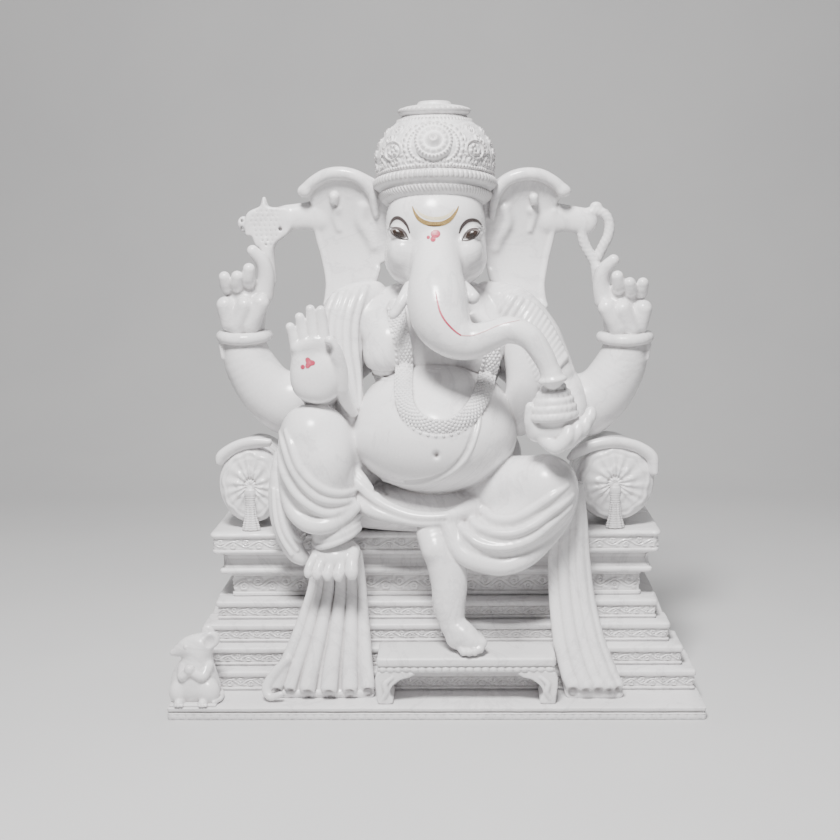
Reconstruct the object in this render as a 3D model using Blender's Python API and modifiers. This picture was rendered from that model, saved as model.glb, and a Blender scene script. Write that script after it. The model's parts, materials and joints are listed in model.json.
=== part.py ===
"""Ganesha idol: a seated four-armed figure carved in white marble on a stepped throne.

Metres, +Z up. The figure faces -Y and +X is the viewer's right. The origin is on the
floor under the middle of the plinth. "right" and "left" in a name are the figure's own
sides, so right_leg is on the viewer's left (-X).
"""
import math

import bmesh
import bpy
from mathutils import Vector

# ---------------------------------------------------------------- driving dimensions
HEIGHT = 0.606
WIDTH = 0.530
DEPTH = 0.220
JOINT_GAP = 0.0003
SWELL = 0.0009
SLIM_LIMB = 0.0095

# Throne: a plinth, four steps, a neck, a cornice and the seat slab
PLINTH_RISE = 0.0125
FIRST_STEP_RISE = 0.0215
STEP_RISE = 0.0205
STEP_RUN = 0.0132
STEP_COUNT = 4
STEP_FRONT = -0.0654
STEP_HALF_WIDTH = 0.2630
STEP_END_RUN = 0.0112
CORE_TOP_HALF_WIDTH = 0.2310
NECK_RISE = 0.0266
CORNICE_RISE = 0.0232
SLAB_RISE = 0.0240
NECK_HALF_WIDTH = 0.2145
CORNICE_HALF_WIDTH = 0.2245
SLAB_HALF_WIDTH = 0.2310
NECK_FRONT = -0.0082
CORNICE_FRONT = -0.0188
SLAB_FRONT = -0.0270
CORE_FRONT = -0.0010
THRONE_BACK = 0.1000

STEP_TOP = PLINTH_RISE + FIRST_STEP_RISE + (STEP_COUNT - 1) * STEP_RISE
NECK_TOP = STEP_TOP + NECK_RISE
CORNICE_TOP = NECK_TOP + CORNICE_RISE
SEAT_TOP = CORNICE_TOP + SLAB_RISE

# Footstool
STOOL_LEFT = -0.0560
STOOL_RIGHT = 0.1190
STOOL_FRONT = -0.1030
STOOL_BACK = -0.0527
STOOL_TOP = 0.0610
STOOL_BOARD = 0.0155
STOOL_LEG_WIDTH = 0.0250

# Bolsters
BOLSTER_X = 0.1900
BOLSTER_RADIUS = 0.0430
BOLSTER_FRONT = -0.0150
BOLSTER_LENGTH = 0.0850

# Figure
HEAD_X = 0.0050
HEAD_Z = 0.4680
CROWN_FOOT = 0.5040
CROWN_Y = 0.0120
BANGLE_RADIUS = 0.0285
BANGLE_X = 0.2010
BANGLE_Z = 0.3650
REAR_ARM_Y = 0.0400

# ---------------------------------------------------------------- scene
for old in list(bpy.data.objects):
    bpy.data.objects.remove(old, do_unlink=True)

idol = bpy.data.collections.new("ganesha_idol")
workshop = bpy.data.collections.new("cutters")
bpy.context.scene.collection.children.link(idol)
bpy.context.scene.collection.children.link(workshop)

POLISHED = ((0.86, 0.87, 0.88), 0.22)
CARVED = ((0.80, 0.81, 0.82), 0.45)


# ---------------------------------------------------------------- shape helpers
def place(name, mesh, at=(0, 0, 0), turn=(0, 0, 0)):
    """An object in the workshop collection, with its turn in degrees."""
    shape = bpy.data.objects.new(name, mesh)
    shape.location = at
    shape.rotation_euler = [math.radians(angle) for angle in turn]
    workshop.objects.link(shape)
    return shape


def settle(shape):
    """Put the result of the shape's modifiers, or of its curve, into a plain mesh."""
    graph = bpy.context.evaluated_depsgraph_get()
    mesh = bpy.data.meshes.new_from_object(shape.evaluated_get(graph))
    if shape.type == "CURVE":
        solid = place(shape.name, mesh)
        solid.matrix_world = shape.matrix_world.copy()
        bpy.data.objects.remove(shape, do_unlink=True)
        shape = solid
    else:
        shape.modifiers.clear()
        shape.data = mesh
    bm = bmesh.new()
    bm.from_mesh(mesh)
    bmesh.ops.remove_doubles(bm, verts=bm.verts, dist=0.00002)
    bmesh.ops.recalc_face_normals(bm, faces=bm.faces)
    bm.to_mesh(mesh)
    bm.free()
    return shape


def round_edges(shape, width, segments=1):
    """Bevel the shape's sharp edges."""
    bevel = shape.modifiers.new("edge", "BEVEL")
    bevel.width = width
    bevel.segments = segments
    bevel.limit_method = "ANGLE"
    bevel.angle_limit = math.radians(40)
    return settle(shape)


def block(low, high, edge=0.0, turn=(0, 0, 0)):
    """A box between two corners, with its edges bevelled by edge."""
    low, high = Vector(low), Vector(high)
    bm = bmesh.new()
    bmesh.ops.create_cube(bm, size=1.0)
    bmesh.ops.scale(bm, vec=high - low, verts=bm.verts)
    mesh = bpy.data.meshes.new("block")
    bm.to_mesh(mesh)
    bm.free()
    shape = place("block", mesh, (low + high) / 2, turn)
    return round_edges(shape, edge) if edge else shape


def ball(at, radii, turn=(0, 0, 0), around=16, rings=10):
    """An ellipsoid, with fewer faces on a small one."""
    if max(radii) < 0.025:
        around, rings = 10, 6
    bm = bmesh.new()
    bmesh.ops.create_uvsphere(bm, u_segments=around, v_segments=rings, radius=1.0)
    bmesh.ops.scale(bm, vec=Vector(radii), verts=bm.verts)
    mesh = bpy.data.meshes.new("ball")
    bm.to_mesh(mesh)
    bm.free()
    return place("ball", mesh, at, turn)


def eased(values, steps):
    """A smooth run of values through the given ones, with steps to each span."""
    run = []
    last = len(values) - 1
    for i in range(last):
        before = values[max(i - 1, 0)]
        start, end = values[i], values[i + 1]
        after = values[min(i + 2, last)]
        for k in range(steps):
            t = k / steps
            run.append(0.5 * (2 * start + (end - before) * t
                              + (2 * before - 5 * start + 4 * end - after) * t * t
                              + (3 * start - before - 3 * end + after) * t ** 3))
    run.append(values[last])
    return run


def limb(points, radii, steps=2, closed=False):
    """A round bar through the points, with its radius given at each one."""
    path = eased([Vector(point) for point in points], steps)
    sizes = eased(radii, steps)
    curve = bpy.data.curves.new("limb", "CURVE")
    curve.dimensions = "3D"
    curve.bevel_depth = 1.0
    curve.bevel_resolution = 1 if max(radii) < SLIM_LIMB else 3
    curve.use_fill_caps = not closed
    if closed:
        path.pop()
        sizes.pop()
    spline = curve.splines.new("POLY")
    spline.points.add(len(path) - 1)
    spline.use_cyclic_u = closed
    for point, spot, size in zip(spline.points, path, sizes):
        point.co = (*spot, 1.0)
        point.radius = size
    return settle(place("limb", curve))


def plate(outline, thickness, at=(0, 0, 0), turn=(0, 0, 0), edge=0.0):
    """A flat plate with the outline's (x, z) points, standing upright."""
    curve = bpy.data.curves.new("plate", "CURVE")
    curve.dimensions = "2D"
    curve.fill_mode = "BOTH"
    curve.extrude = thickness / 2
    spline = curve.splines.new("POLY")
    spline.points.add(len(outline) - 1)
    spline.use_cyclic_u = True
    for point, (x, z) in zip(spline.points, outline):
        point.co = (x, z, 0.0, 1.0)
    upright = settle(place("plate", curve, at, (90 + turn[0], turn[1], turn[2])))
    return round_edges(upright, edge) if edge else upright


def turned(profile, steps=28):
    """A turned shape about the Z axis from its (radius, height) outer side."""
    bm = bmesh.new()
    spots = [bm.verts.new((radius, 0.0, height)) for radius, height in profile]
    for first, second in zip(spots, spots[1:]):
        bm.edges.new((first, second))
    mesh = bpy.data.meshes.new("turned")
    bm.to_mesh(mesh)
    bm.free()
    shape = place("turned", mesh)
    screw = shape.modifiers.new("turn", "SCREW")
    screw.axis = "Z"
    screw.steps = steps
    screw.render_steps = steps
    screw.use_merge_vertices = True
    screw.merge_threshold = 0.00001
    return settle(shape)


def loft(rows):
    """A closed skin through rows of points, each row a ring of the same count."""
    bm = bmesh.new()
    rings = [[bm.verts.new(point) for point in row] for row in rows]
    count = len(rings[0])
    for lower, upper in zip(rings, rings[1:]):
        for i in range(count):
            k = (i + 1) % count
            bm.faces.new((lower[i], lower[k], upper[k], upper[i]))
    bm.faces.new(list(reversed(rings[0])))
    bm.faces.new(rings[-1])
    bmesh.ops.recalc_face_normals(bm, faces=bm.faces)
    mesh = bpy.data.meshes.new("loft")
    bm.to_mesh(mesh)
    bm.free()
    return place("loft", mesh)


def combine(shape, others, operation):
    """Boolean the others into the shape and remove them."""
    for other in others:
        other.hide_render = True
        other.display_type = "WIRE"
        step = shape.modifiers.new("combine", "BOOLEAN")
        step.operation = operation
        step.solver = "EXACT"
        step.object = other
    shape = settle(shape)
    for other in others:
        bpy.data.objects.remove(other, do_unlink=True)
    return shape


def keep_largest(shape):
    """Drop the crumbs that a cut leaves and keep the one main body."""
    bm = bmesh.new()
    bm.from_mesh(shape.data)
    unseen = set(bm.verts)
    groups = []
    while unseen:
        seed = unseen.pop()
        group, front = [seed], [seed]
        while front:
            spot = front.pop()
            for edge in spot.link_edges:
                other = edge.other_vert(spot)
                if other in unseen:
                    unseen.remove(other)
                    group.append(other)
                    front.append(other)
        groups.append(group)

    def spread(group):
        size = [max(v.co[k] for v in group) - min(v.co[k] for v in group) for k in range(3)]
        return size[0] * size[1] * size[2]

    groups.sort(key=spread)
    for group in groups[:-1]:
        bmesh.ops.delete(bm, geom=group, context="VERTS")
    bm.to_mesh(shape.data)
    bm.free()


def swollen(piece):
    """A copy of the piece grown by the joint's clearance."""
    mesh = piece.data.copy()
    bm = bmesh.new()
    bm.from_mesh(mesh)
    bm.normal_update()
    shifts = [vert.normal * SWELL for vert in bm.verts]
    for vert, shift in zip(bm.verts, shifts):
        vert.co += shift
    bm.to_mesh(mesh)
    bm.free()
    copy = place("clearance", mesh)
    copy.matrix_world = piece.matrix_world.copy()
    return copy


def make(name, shapes, finish=POLISHED, clear=()):
    """Fuse the shapes into one named sub-part, cut back from its neighbours."""
    piece = shapes[0]
    if len(shapes) > 1:
        piece = combine(piece, shapes[1:], "UNION")
    if clear:
        bpy.context.view_layer.update()
        piece = combine(piece, [swollen(other) for other in clear], "DIFFERENCE")
    keep_largest(piece)
    piece.name = name
    piece.data.name = name
    colour, roughness = finish
    marble = bpy.data.materials.new(name + "_marble")
    marble.use_nodes = True
    shader = marble.node_tree.nodes["Principled BSDF"]
    shader.inputs["Base Color"].default_value = (*colour, 1.0)
    shader.inputs["Roughness"].default_value = roughness
    shader.inputs["Metallic"].default_value = 0.0
    piece.data.materials.clear()
    piece.data.materials.append(marble)
    workshop.objects.unlink(piece)
    idol.objects.link(piece)
    return piece


# ---------------------------------------------------------------- throne
def build_throne():
    """Plinth, sloping core, four steps, neck, cornice and seat slab."""
    half = WIDTH / 2
    plinth = make("plinth", [block((-half, -DEPTH / 2, 0), (half, DEPTH / 2, PLINTH_RISE), 0.0012)],
                  CARVED)
    foot = PLINTH_RISE + JOINT_GAP
    slope = [(-STEP_HALF_WIDTH, foot), (STEP_HALF_WIDTH, foot),
             (STEP_HALF_WIDTH, PLINTH_RISE + FIRST_STEP_RISE), (CORE_TOP_HALF_WIDTH, STEP_TOP),
             (-CORE_TOP_HALF_WIDTH, STEP_TOP), (-STEP_HALF_WIDTH, PLINTH_RISE + FIRST_STEP_RISE)]
    core_depth = THRONE_BACK - CORE_FRONT
    core = make("base_core", [plate(slope, core_depth, (0, (THRONE_BACK + CORE_FRONT) / 2, 0))],
                CARVED)
    steps = []
    top = PLINTH_RISE + FIRST_STEP_RISE
    for i in range(STEP_COUNT):
        reach = STEP_HALF_WIDTH - i * STEP_END_RUN
        front = STEP_FRONT + i * STEP_RUN
        low = (-reach, front, foot)
        high = (reach, CORE_FRONT - JOINT_GAP, top)
        steps.append(make("step_%d" % (i + 1), [block(low, high, 0.0015)], CARVED))
        foot = top + JOINT_GAP
        top += STEP_RISE

    def tier(name, reach, front, bottom, level, edge, finish):
        low = (-reach, front, bottom + JOINT_GAP)
        high = (reach, THRONE_BACK, level)
        return make(name, [block(low, high, edge)], finish)

    neck = tier("throne_neck", NECK_HALF_WIDTH, NECK_FRONT, STEP_TOP, NECK_TOP, 0.001, CARVED)
    cornice = tier("throne_cornice", CORNICE_HALF_WIDTH, CORNICE_FRONT, NECK_TOP, CORNICE_TOP,
                   0.001, CARVED)
    slab = tier("seat_slab", SLAB_HALF_WIDTH, SLAB_FRONT, CORNICE_TOP, SEAT_TOP, 0.003, POLISHED)
    return plinth, core, steps, neck, cornice, slab


def build_footstool():
    """A board on two bracket legs, standing on the plinth."""
    low = (STOOL_LEFT, STOOL_FRONT, STOOL_TOP - STOOL_BOARD)
    board = make("footstool_top", [block(low, (STOOL_RIGHT, STOOL_BACK, STOOL_TOP), 0.0012)])
    leg_foot = PLINTH_RISE + JOINT_GAP
    leg_top = STOOL_TOP - STOOL_BOARD - JOINT_GAP
    leg_front = STOOL_FRONT + 0.0015
    leg_back = STEP_FRONT - JOINT_GAP
    legs = []
    for name, outer, side in (("footstool_leg_right", STOOL_LEFT, 1),
                              ("footstool_leg_left", STOOL_RIGHT, -1)):
        bracket = [(0.0, leg_foot), (0.013, leg_foot), (0.0145, leg_foot + 0.004),
                   (0.0125, leg_foot + 0.010), (0.014, leg_foot + 0.018),
                   (0.019, leg_foot + 0.024), (STOOL_LEG_WIDTH, leg_top), (0.0, leg_top)]
        outline = [(outer + side * x, z) for x, z in bracket]
        depth = leg_back - leg_front
        legs.append(make(name, [plate(outline, depth, (0, (leg_front + leg_back) / 2, 0))], CARVED))
    return board, legs


# ---------------------------------------------------------------- figure, middle
def build_body(slab):
    """Belly, chest and the cloth over the lap, from the seat up to the neck."""
    belly = make("belly", [ball((0.003, -0.018, 0.270), (0.084, 0.078, 0.060), around=24, rings=14),
                           ball((0.003, 0.025, 0.240), (0.092, 0.050, 0.055))], clear=[slab])
    chest = make("chest", [ball((0.003, 0.024, 0.352), (0.072, 0.048, 0.078), around=20, rings=12),
                           ball((-0.033, -0.010, 0.358), (0.034, 0.034, 0.034)),
                           ball((0.039, -0.010, 0.358), (0.034, 0.034, 0.034))], clear=[belly])
    shawls = []
    for name, side in (("right", -1), ("left", 1)):
        shoulder = ball((0.004 + side * 0.087, 0.014, 0.354), (0.037, 0.042, 0.064))
        shawls.append(make("shawl_" + name, [shoulder], clear=[chest, belly]))
    lap = make("lap_cloth", [ball((0.006, 0.004, 0.188), (0.150, 0.078, 0.036), around=24, rings=10)],
               clear=[belly, slab])
    return belly, chest, shawls, lap


def build_head(chest, shawls, band, dome):
    """Head, trunk, ears and tusks."""
    head = make("head", [ball((HEAD_X, 0.012, HEAD_Z), (0.056, 0.056, 0.080), around=20, rings=14),
                         ball((HEAD_X - 0.026, -0.012, HEAD_Z - 0.030), (0.026, 0.034, 0.034)),
                         ball((HEAD_X + 0.026, -0.012, HEAD_Z - 0.030), (0.026, 0.034, 0.034)),
                         ball((HEAD_X, 0.020, 0.410), (0.040, 0.040, 0.034))],
                clear=[chest, *shawls, band, dome])
    trunk_path = [(0.006, -0.030, 0.452), (0.007, -0.052, 0.425), (0.007, -0.070, 0.398),
                  (0.012, -0.084, 0.376), (0.027, -0.090, 0.366), (0.049, -0.090, 0.366),
                  (0.072, -0.090, 0.378), (0.090, -0.090, 0.377), (0.104, -0.090, 0.364),
                  (0.114, -0.090, 0.343)]
    trunk_radii = [0.026, 0.030, 0.029, 0.025, 0.0195, 0.0155, 0.0138, 0.0115, 0.0098, 0.0112]
    trunk = make("trunk", [limb(trunk_path, trunk_radii)], clear=[head, chest, *shawls])
    fan = [(-0.008, 0.530), (-0.030, 0.541), (-0.056, 0.540), (-0.076, 0.528), (-0.074, 0.508),
           (-0.066, 0.476), (-0.058, 0.446), (-0.056, 0.402), (-0.034, 0.412), (-0.010, 0.420),
           (0.006, 0.440), (0.008, 0.500)]
    ears, tusks = [], []
    for name, side in (("right", -1), ("left", 1)):
        root = HEAD_X + side * 0.060
        outline = [(root - side * x, z) for x, z in fan]
        ear = plate(outline, 0.014, (0, 0.040, 0), edge=0.004)
        ears.append(make("ear_" + name, [ear], clear=[head, chest, *shawls, band, dome]))
        length = 1.0 if name == "right" else 0.5
        base = Vector((HEAD_X + side * 0.026, -0.044, 0.418))
        reach = Vector((side * 0.014, -0.024, -0.022)) * length
        tusk = limb([base, base + reach / 2, base + reach], [0.0062, 0.0056, 0.0036], 1)
        tusks.append(make("tusk_" + name, [tusk], clear=[head, trunk]))
    return head, trunk, ears, tusks


def build_crown():
    """The brow band, the dome, the rosette on its front and the collar on top."""
    def ring_part(name, profile):
        shape = turned(profile)
        shape.location = (HEAD_X, CROWN_Y, 0)
        return make(name, [shape], CARVED)

    band = ring_part("crown_band", [(0.0, 0.532), (0.060, 0.532), (0.0625, 0.529),
                                    (0.0625, 0.508), (0.0600, CROWN_FOOT), (0.0, CROWN_FOOT)])
    dome = ring_part("crown_dome", [(0.0, 0.5905), (0.030, 0.5905), (0.044, 0.583),
                                    (0.055, 0.570), (0.062, 0.556), (0.0605, 0.548),
                                    (0.0615, 0.540), (0.0600, 0.5323), (0.0, 0.5323)])
    finial = ring_part("crown_finial", [(0.0, HEIGHT), (0.0130, HEIGHT), (0.0150, 0.6020),
                                        (0.0350, 0.5990), (0.0365, 0.5960), (0.0330, 0.5908),
                                        (0.0, 0.5908)])
    rosette = ball((HEAD_X, CROWN_Y - 0.0525, 0.5640), (0.020, 0.010, 0.020), (-22, 0, 0))
    medallion = make("crown_medallion", [rosette], CARVED, [dome])
    return band, dome, finial, medallion


# ---------------------------------------------------------------- figure, legs
def build_legs(slab, lap, belly):
    """The right leg with its knee up and the left leg folded down to the footstool."""
    right_leg = make("right_leg",
                     [limb([(-0.118, -0.050, 0.279), (-0.114, -0.050, 0.245),
                            (-0.100, -0.052, 0.196)], [0.0335, 0.0345, 0.0280], 3),
                      ball((-0.118, -0.050, 0.281), (0.0335, 0.0335, 0.0330)),
                      limb([(-0.112, -0.040, 0.262), (-0.075, 0.020, 0.216)], [0.032, 0.036], 3)],
                     clear=[belly, slab, lap])
    cuff = make("right_anklet",
                [limb([(-0.1010, -0.0560, 0.1905), (-0.0970, -0.0600, 0.1615)],
                      [0.0265, 0.0270], 1)], CARVED, [right_leg, slab, lap])
    foot_shapes = [ball((-0.0985, -0.0600, 0.1540), (0.0270, 0.0210, 0.0190), (20, 0, 0))]
    for i in range(5):
        toe_x = -0.1190 + i * 0.0105
        foot_shapes.append(limb([(toe_x, -0.0640, 0.1520), (toe_x, -0.0770, 0.1370)],
                                [0.0064, 0.0056], 1))
    right_foot = make("right_foot", foot_shapes, clear=[cuff, slab])
    fold_rows = []
    for x, y, z, wide, deep in ((-0.1560, -0.0340, 0.2440, 0.010, 0.012),
                                (-0.1540, -0.0420, 0.2100, 0.016, 0.014),
                                (-0.1440, -0.0480, 0.1750, 0.018, 0.014),
                                (-0.1330, -0.0500, 0.1510, 0.012, 0.009)):
        fold_rows.append([(x + wide * math.cos(a), y + deep * math.sin(a), z)
                          for a in (k * math.pi / 5 for k in range(10))])
    fold = make("dhoti_fold", [loft(fold_rows)], clear=[right_leg, cuff, right_foot, slab])

    left_thigh = make("left_thigh",
                      [limb([(0.050, 0.000, 0.212), (0.085, -0.040, 0.218),
                             (0.124, -0.062, 0.222)], [0.040, 0.037, 0.0310], 3),
                       ball((0.125, -0.062, 0.222), (0.0300, 0.0310, 0.0310)),
                       limb([(0.122, -0.062, 0.215), (0.074, -0.062, 0.176),
                             (0.024, -0.060, 0.156)], [0.0300, 0.0300, 0.0215], 3)],
                      clear=[belly, slab, lap])
    left_shin = make("left_shin",
                     [limb([(0.0170, -0.0640, 0.1620), (0.0160, -0.0720, 0.1250),
                            (0.0180, -0.0790, 0.0900)], [0.0185, 0.0170, 0.0130], 3)],
                     clear=[left_thigh, slab])
    left_foot = make("left_foot",
                     [ball((0.0240, -0.0840, 0.0745), (0.0165, 0.0200, 0.0130)),
                      ball((0.0330, -0.0900, 0.0680), (0.0150, 0.0125, 0.0067), (0, 8, 0))])
    left_foot = recut(left_foot, [left_shin])
    return right_leg, cuff, right_foot, fold, left_thigh, left_shin, left_foot


def recut(piece, clear):
    """Cut a finished sub-part back from more neighbours."""
    bpy.context.view_layer.update()
    piece = combine(piece, [swollen(other) for other in clear], "DIFFERENCE")
    keep_largest(piece)
    return piece


def build_drapes(neighbours):
    """The two fluted cloth ends that hang from the seat down to the plinth."""
    def hanging(name, rows, clear):
        rings = []
        for left, right, front, back, z in rows:
            ring = [(left, back, z), (left, front, z)]
            ring += [(left + (right - left) * k / 4, front - 0.002 * (k % 2), z) for k in (1, 2, 3)]
            ring += [(right, front, z), (right, back, z)]
            rings.append(ring)
        return make(name, [loft(rings)], clear=clear)

    right = hanging("drape_right", [(-0.1200, -0.0720, -0.0500, -0.0290, 0.1560),
                                    (-0.1220, -0.0700, -0.0500, -0.0300, 0.1200),
                                    (-0.1270, -0.0680, -0.0560, -0.0300, 0.0950),
                                    (-0.1420, -0.0620, -0.0800, -0.0600, 0.0500),
                                    (-0.1620, -0.0585, -0.0940, -0.0800, 0.0130)], neighbours)
    left = hanging("drape_left", [(0.1180, 0.1480, -0.0480, -0.0330, 0.1950),
                                  (0.1180, 0.1540, -0.0500, -0.0300, 0.1450),
                                  (0.1195, 0.1620, -0.0560, -0.0300, 0.0950),
                                  (0.1230, 0.1720, -0.0780, -0.0600, 0.0500),
                                  (0.1300, 0.1890, -0.0960, -0.0790, 0.0130)], neighbours)
    return right, left


# ---------------------------------------------------------------- figure, arms
def build_rear_arms(chest, shawls, ears, bolsters):
    """Raised back arms: upper arm and forearm, bangle, hand, attribute and its strut."""
    made = []
    for name, side in (("right", -1), ("left", 1)):
        wrist = (side * BANGLE_X, REAR_ARM_Y, BANGLE_Z - 0.011)
        elbow = (side * 0.160, REAR_ARM_Y + 0.006, 0.292)
        shoulder = (side * 0.075, REAR_ARM_Y, 0.352)
        arm = make("rear_arm_" + name,
                   [limb([wrist, ((wrist[0] + elbow[0]) / 2 + side * 0.004, REAR_ARM_Y, 0.320),
                          elbow], [0.0235, 0.0290, 0.0290], 3),
                    limb([elbow, (side * 0.118, REAR_ARM_Y, 0.322), shoulder],
                         [0.0290, 0.0290, 0.0260], 3)], clear=[chest, *shawls, *ears, *bolsters])
        ring = turned([(0.0, BANGLE_Z + 0.0060), (0.0262, BANGLE_Z + 0.0060),
                       (BANGLE_RADIUS, BANGLE_Z + 0.0030), (BANGLE_RADIUS, BANGLE_Z - 0.0050),
                       (0.0262, BANGLE_Z - 0.0080), (0.0, BANGLE_Z - 0.0080)], 20)
        ring.location = (side * BANGLE_X, REAR_ARM_Y, 0)
        bangle = make("rear_bangle_" + name, [ring], CARVED, [arm])
        hand_x = side * 0.2000
        shapes = [limb([(hand_x, REAR_ARM_Y, 0.368), (hand_x, REAR_ARM_Y, 0.390),
                        (hand_x + side * 0.002, REAR_ARM_Y, 0.418)], [0.0180, 0.0200, 0.0170], 2)]
        for i in range(4):
            finger_y = REAR_ARM_Y - 0.014 + i * 0.0085
            shapes.append(limb([(hand_x - side * 0.002, finger_y, 0.410),
                                (hand_x + side * 0.014, finger_y - 0.003, 0.432),
                                (hand_x + side * 0.016, finger_y - 0.008, 0.444)],
                               [0.0056, 0.0052, 0.0042], 1))
        shapes.append(limb([(hand_x - side * 0.010, REAR_ARM_Y - 0.004, 0.400),
                            (hand_x - side * 0.022, REAR_ARM_Y - 0.012, 0.424),
                            (hand_x - side * 0.026, REAR_ARM_Y - 0.008, 0.446)],
                           [0.0072, 0.0062, 0.0046], 1))
        hand = make("rear_hand_" + name, shapes, clear=[bangle])
        made.append((arm, bangle, hand))
    return made


def build_attributes(right_hand, left_hand, ears):
    """The goad in the rear right hand, the noose in the rear left, and their struts."""
    head_outline = [(-0.174, 0.4600), (-0.163, 0.4680), (-0.152, 0.4760), (-0.1530, 0.4860),
                    (-0.1480, 0.4930), (-0.1530, 0.5010), (-0.1640, 0.5020), (-0.1690, 0.5060),
                    (-0.1725, 0.5110), (-0.1760, 0.5060), (-0.1810, 0.5020), (-0.1900, 0.5010),
                    (-0.1880, 0.4900), (-0.1900, 0.4800), (-0.1840, 0.4700)]
    eye = [(-0.1905, REAR_ARM_Y, 0.4890), (-0.1965, REAR_ARM_Y, 0.4850),
           (-0.1965, REAR_ARM_Y, 0.4770), (-0.1885, REAR_ARM_Y, 0.4750)]
    goad = make("goad_head", [plate(head_outline, 0.016, (0, REAR_ARM_Y, 0), edge=0.002),
                              limb(eye, [0.0030] * 4, 2),
                              limb([(-0.1740, REAR_ARM_Y, 0.4700), (-0.1780, REAR_ARM_Y, 0.4400)],
                                   [0.0070, 0.0050], 1)], CARVED, [right_hand])
    loop = [(0.1745, REAR_ARM_Y, 0.4500), (0.1655, REAR_ARM_Y, 0.4660), (0.1635, REAR_ARM_Y, 0.4860),
            (0.1700, REAR_ARM_Y, 0.4990), (0.1820, REAR_ARM_Y, 0.4990), (0.1900, REAR_ARM_Y, 0.4860),
            (0.1865, REAR_ARM_Y, 0.4660), (0.1745, REAR_ARM_Y, 0.4500)]
    noose = make("noose", [limb(loop, [0.0046] * 8, 2, closed=True),
                           limb([(0.1745, REAR_ARM_Y, 0.4510), (0.1760, REAR_ARM_Y, 0.4300)],
                                [0.0056, 0.0050], 1)], CARVED, [left_hand])
    struts = []
    for name, side, piece in (("right", -1, goad), ("left", 1, noose)):
        bar = limb([(side * 0.118, REAR_ARM_Y, 0.5040), (side * 0.148, REAR_ARM_Y, 0.4930),
                    (side * 0.168, REAR_ARM_Y, 0.4890)], [0.0130, 0.0110, 0.0075], 2)
        struts.append(make("strut_" + name, [bar], clear=[piece, *ears]))
    return goad, noose, struts


def build_front_arms(chest, shawls, belly, right_leg, left_thigh, rear):
    """The blessing hand at the right and the hand with the heap of sweets at the left."""
    rear_arms = [pieces[0] for pieces in rear]
    right_arm = make("front_arm_right",
                     [limb([(-0.074, 0.016, 0.372), (-0.104, 0.004, 0.330),
                            (-0.118, -0.030, 0.316), (-0.118, -0.058, 0.322)],
                           [0.026, 0.026, 0.021, 0.0175], 2)],
                     clear=[chest, *shawls, belly, right_leg, *rear_arms])
    palm = ball((-0.1160, -0.0650, 0.3500), (0.0235, 0.0110, 0.0290))
    shapes = [palm]
    for x, z, length in ((-0.1365, 0.360, 0.026), (-0.1260, 0.366, 0.030),
                         (-0.1165, 0.370, 0.034), (-0.1060, 0.370, 0.033)):
        shapes.append(limb([(x, -0.0650, z), (x, -0.0670, z + length)], [0.0062, 0.0050], 1))
    shapes.append(limb([(-0.1010, -0.0660, 0.3480), (-0.0955, -0.0720, 0.3720)],
                       [0.0072, 0.0056], 1))
    make("front_hand_right", shapes, clear=[right_arm, right_leg])
    left_arm = make("front_arm_left",
                    [limb([(0.082, 0.016, 0.368), (0.124, 0.000, 0.318), (0.134, -0.030, 0.288),
                           (0.128, -0.066, 0.276)], [0.026, 0.026, 0.021, 0.0150], 2)],
                    clear=[chest, *shawls, belly, left_thigh, *rear_arms])
    shapes = [ball((0.1240, -0.0800, 0.2740), (0.0270, 0.0180, 0.0110), (0, -8, 0))]
    for i in range(4):
        finger_y = -0.0950 + i * 0.0090
        shapes.append(limb([(0.1380, finger_y, 0.2740), (0.1520, finger_y, 0.2820)],
                           [0.0056, 0.0046], 1))
    left_hand = make("front_hand_left", shapes, clear=[left_arm, left_thigh])
    heap = turned([(0.0, 0.3250), (0.0050, 0.3235), (0.0120, 0.3150), (0.0190, 0.3040),
                   (0.0235, 0.2930), (0.0200, 0.2840), (0.0, 0.2840)], 20)
    heap.location = (0.1230, -0.0850, 0)
    sweets = make("modak_heap", [heap], CARVED, [left_hand, left_arm])
    return sweets


# ---------------------------------------------------------------- cloth and ornaments
def build_ornaments(chest, belly, trunk, shawls):
    """The garland round the chest and the thread across the belly."""
    band = [(-0.030, -0.048, 0.372), (-0.037, -0.062, 0.340), (-0.034, -0.080, 0.312),
            (-0.012, -0.094, 0.296), (0.020, -0.094, 0.296), (0.040, -0.082, 0.308)]
    garland = make("garland", [limb(band, [0.0095] * 6, 2)], CARVED,
                   [chest, belly, trunk, *shawls])
    thread = make("sacred_thread",
                  [limb([(0.045, -0.079, 0.300), (0.044, -0.088, 0.274), (0.022, -0.094, 0.243),
                         (-0.020, -0.084, 0.228)], [0.0040] * 4, 2)],
                  clear=[chest, belly, garland])
    return garland, thread


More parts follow.
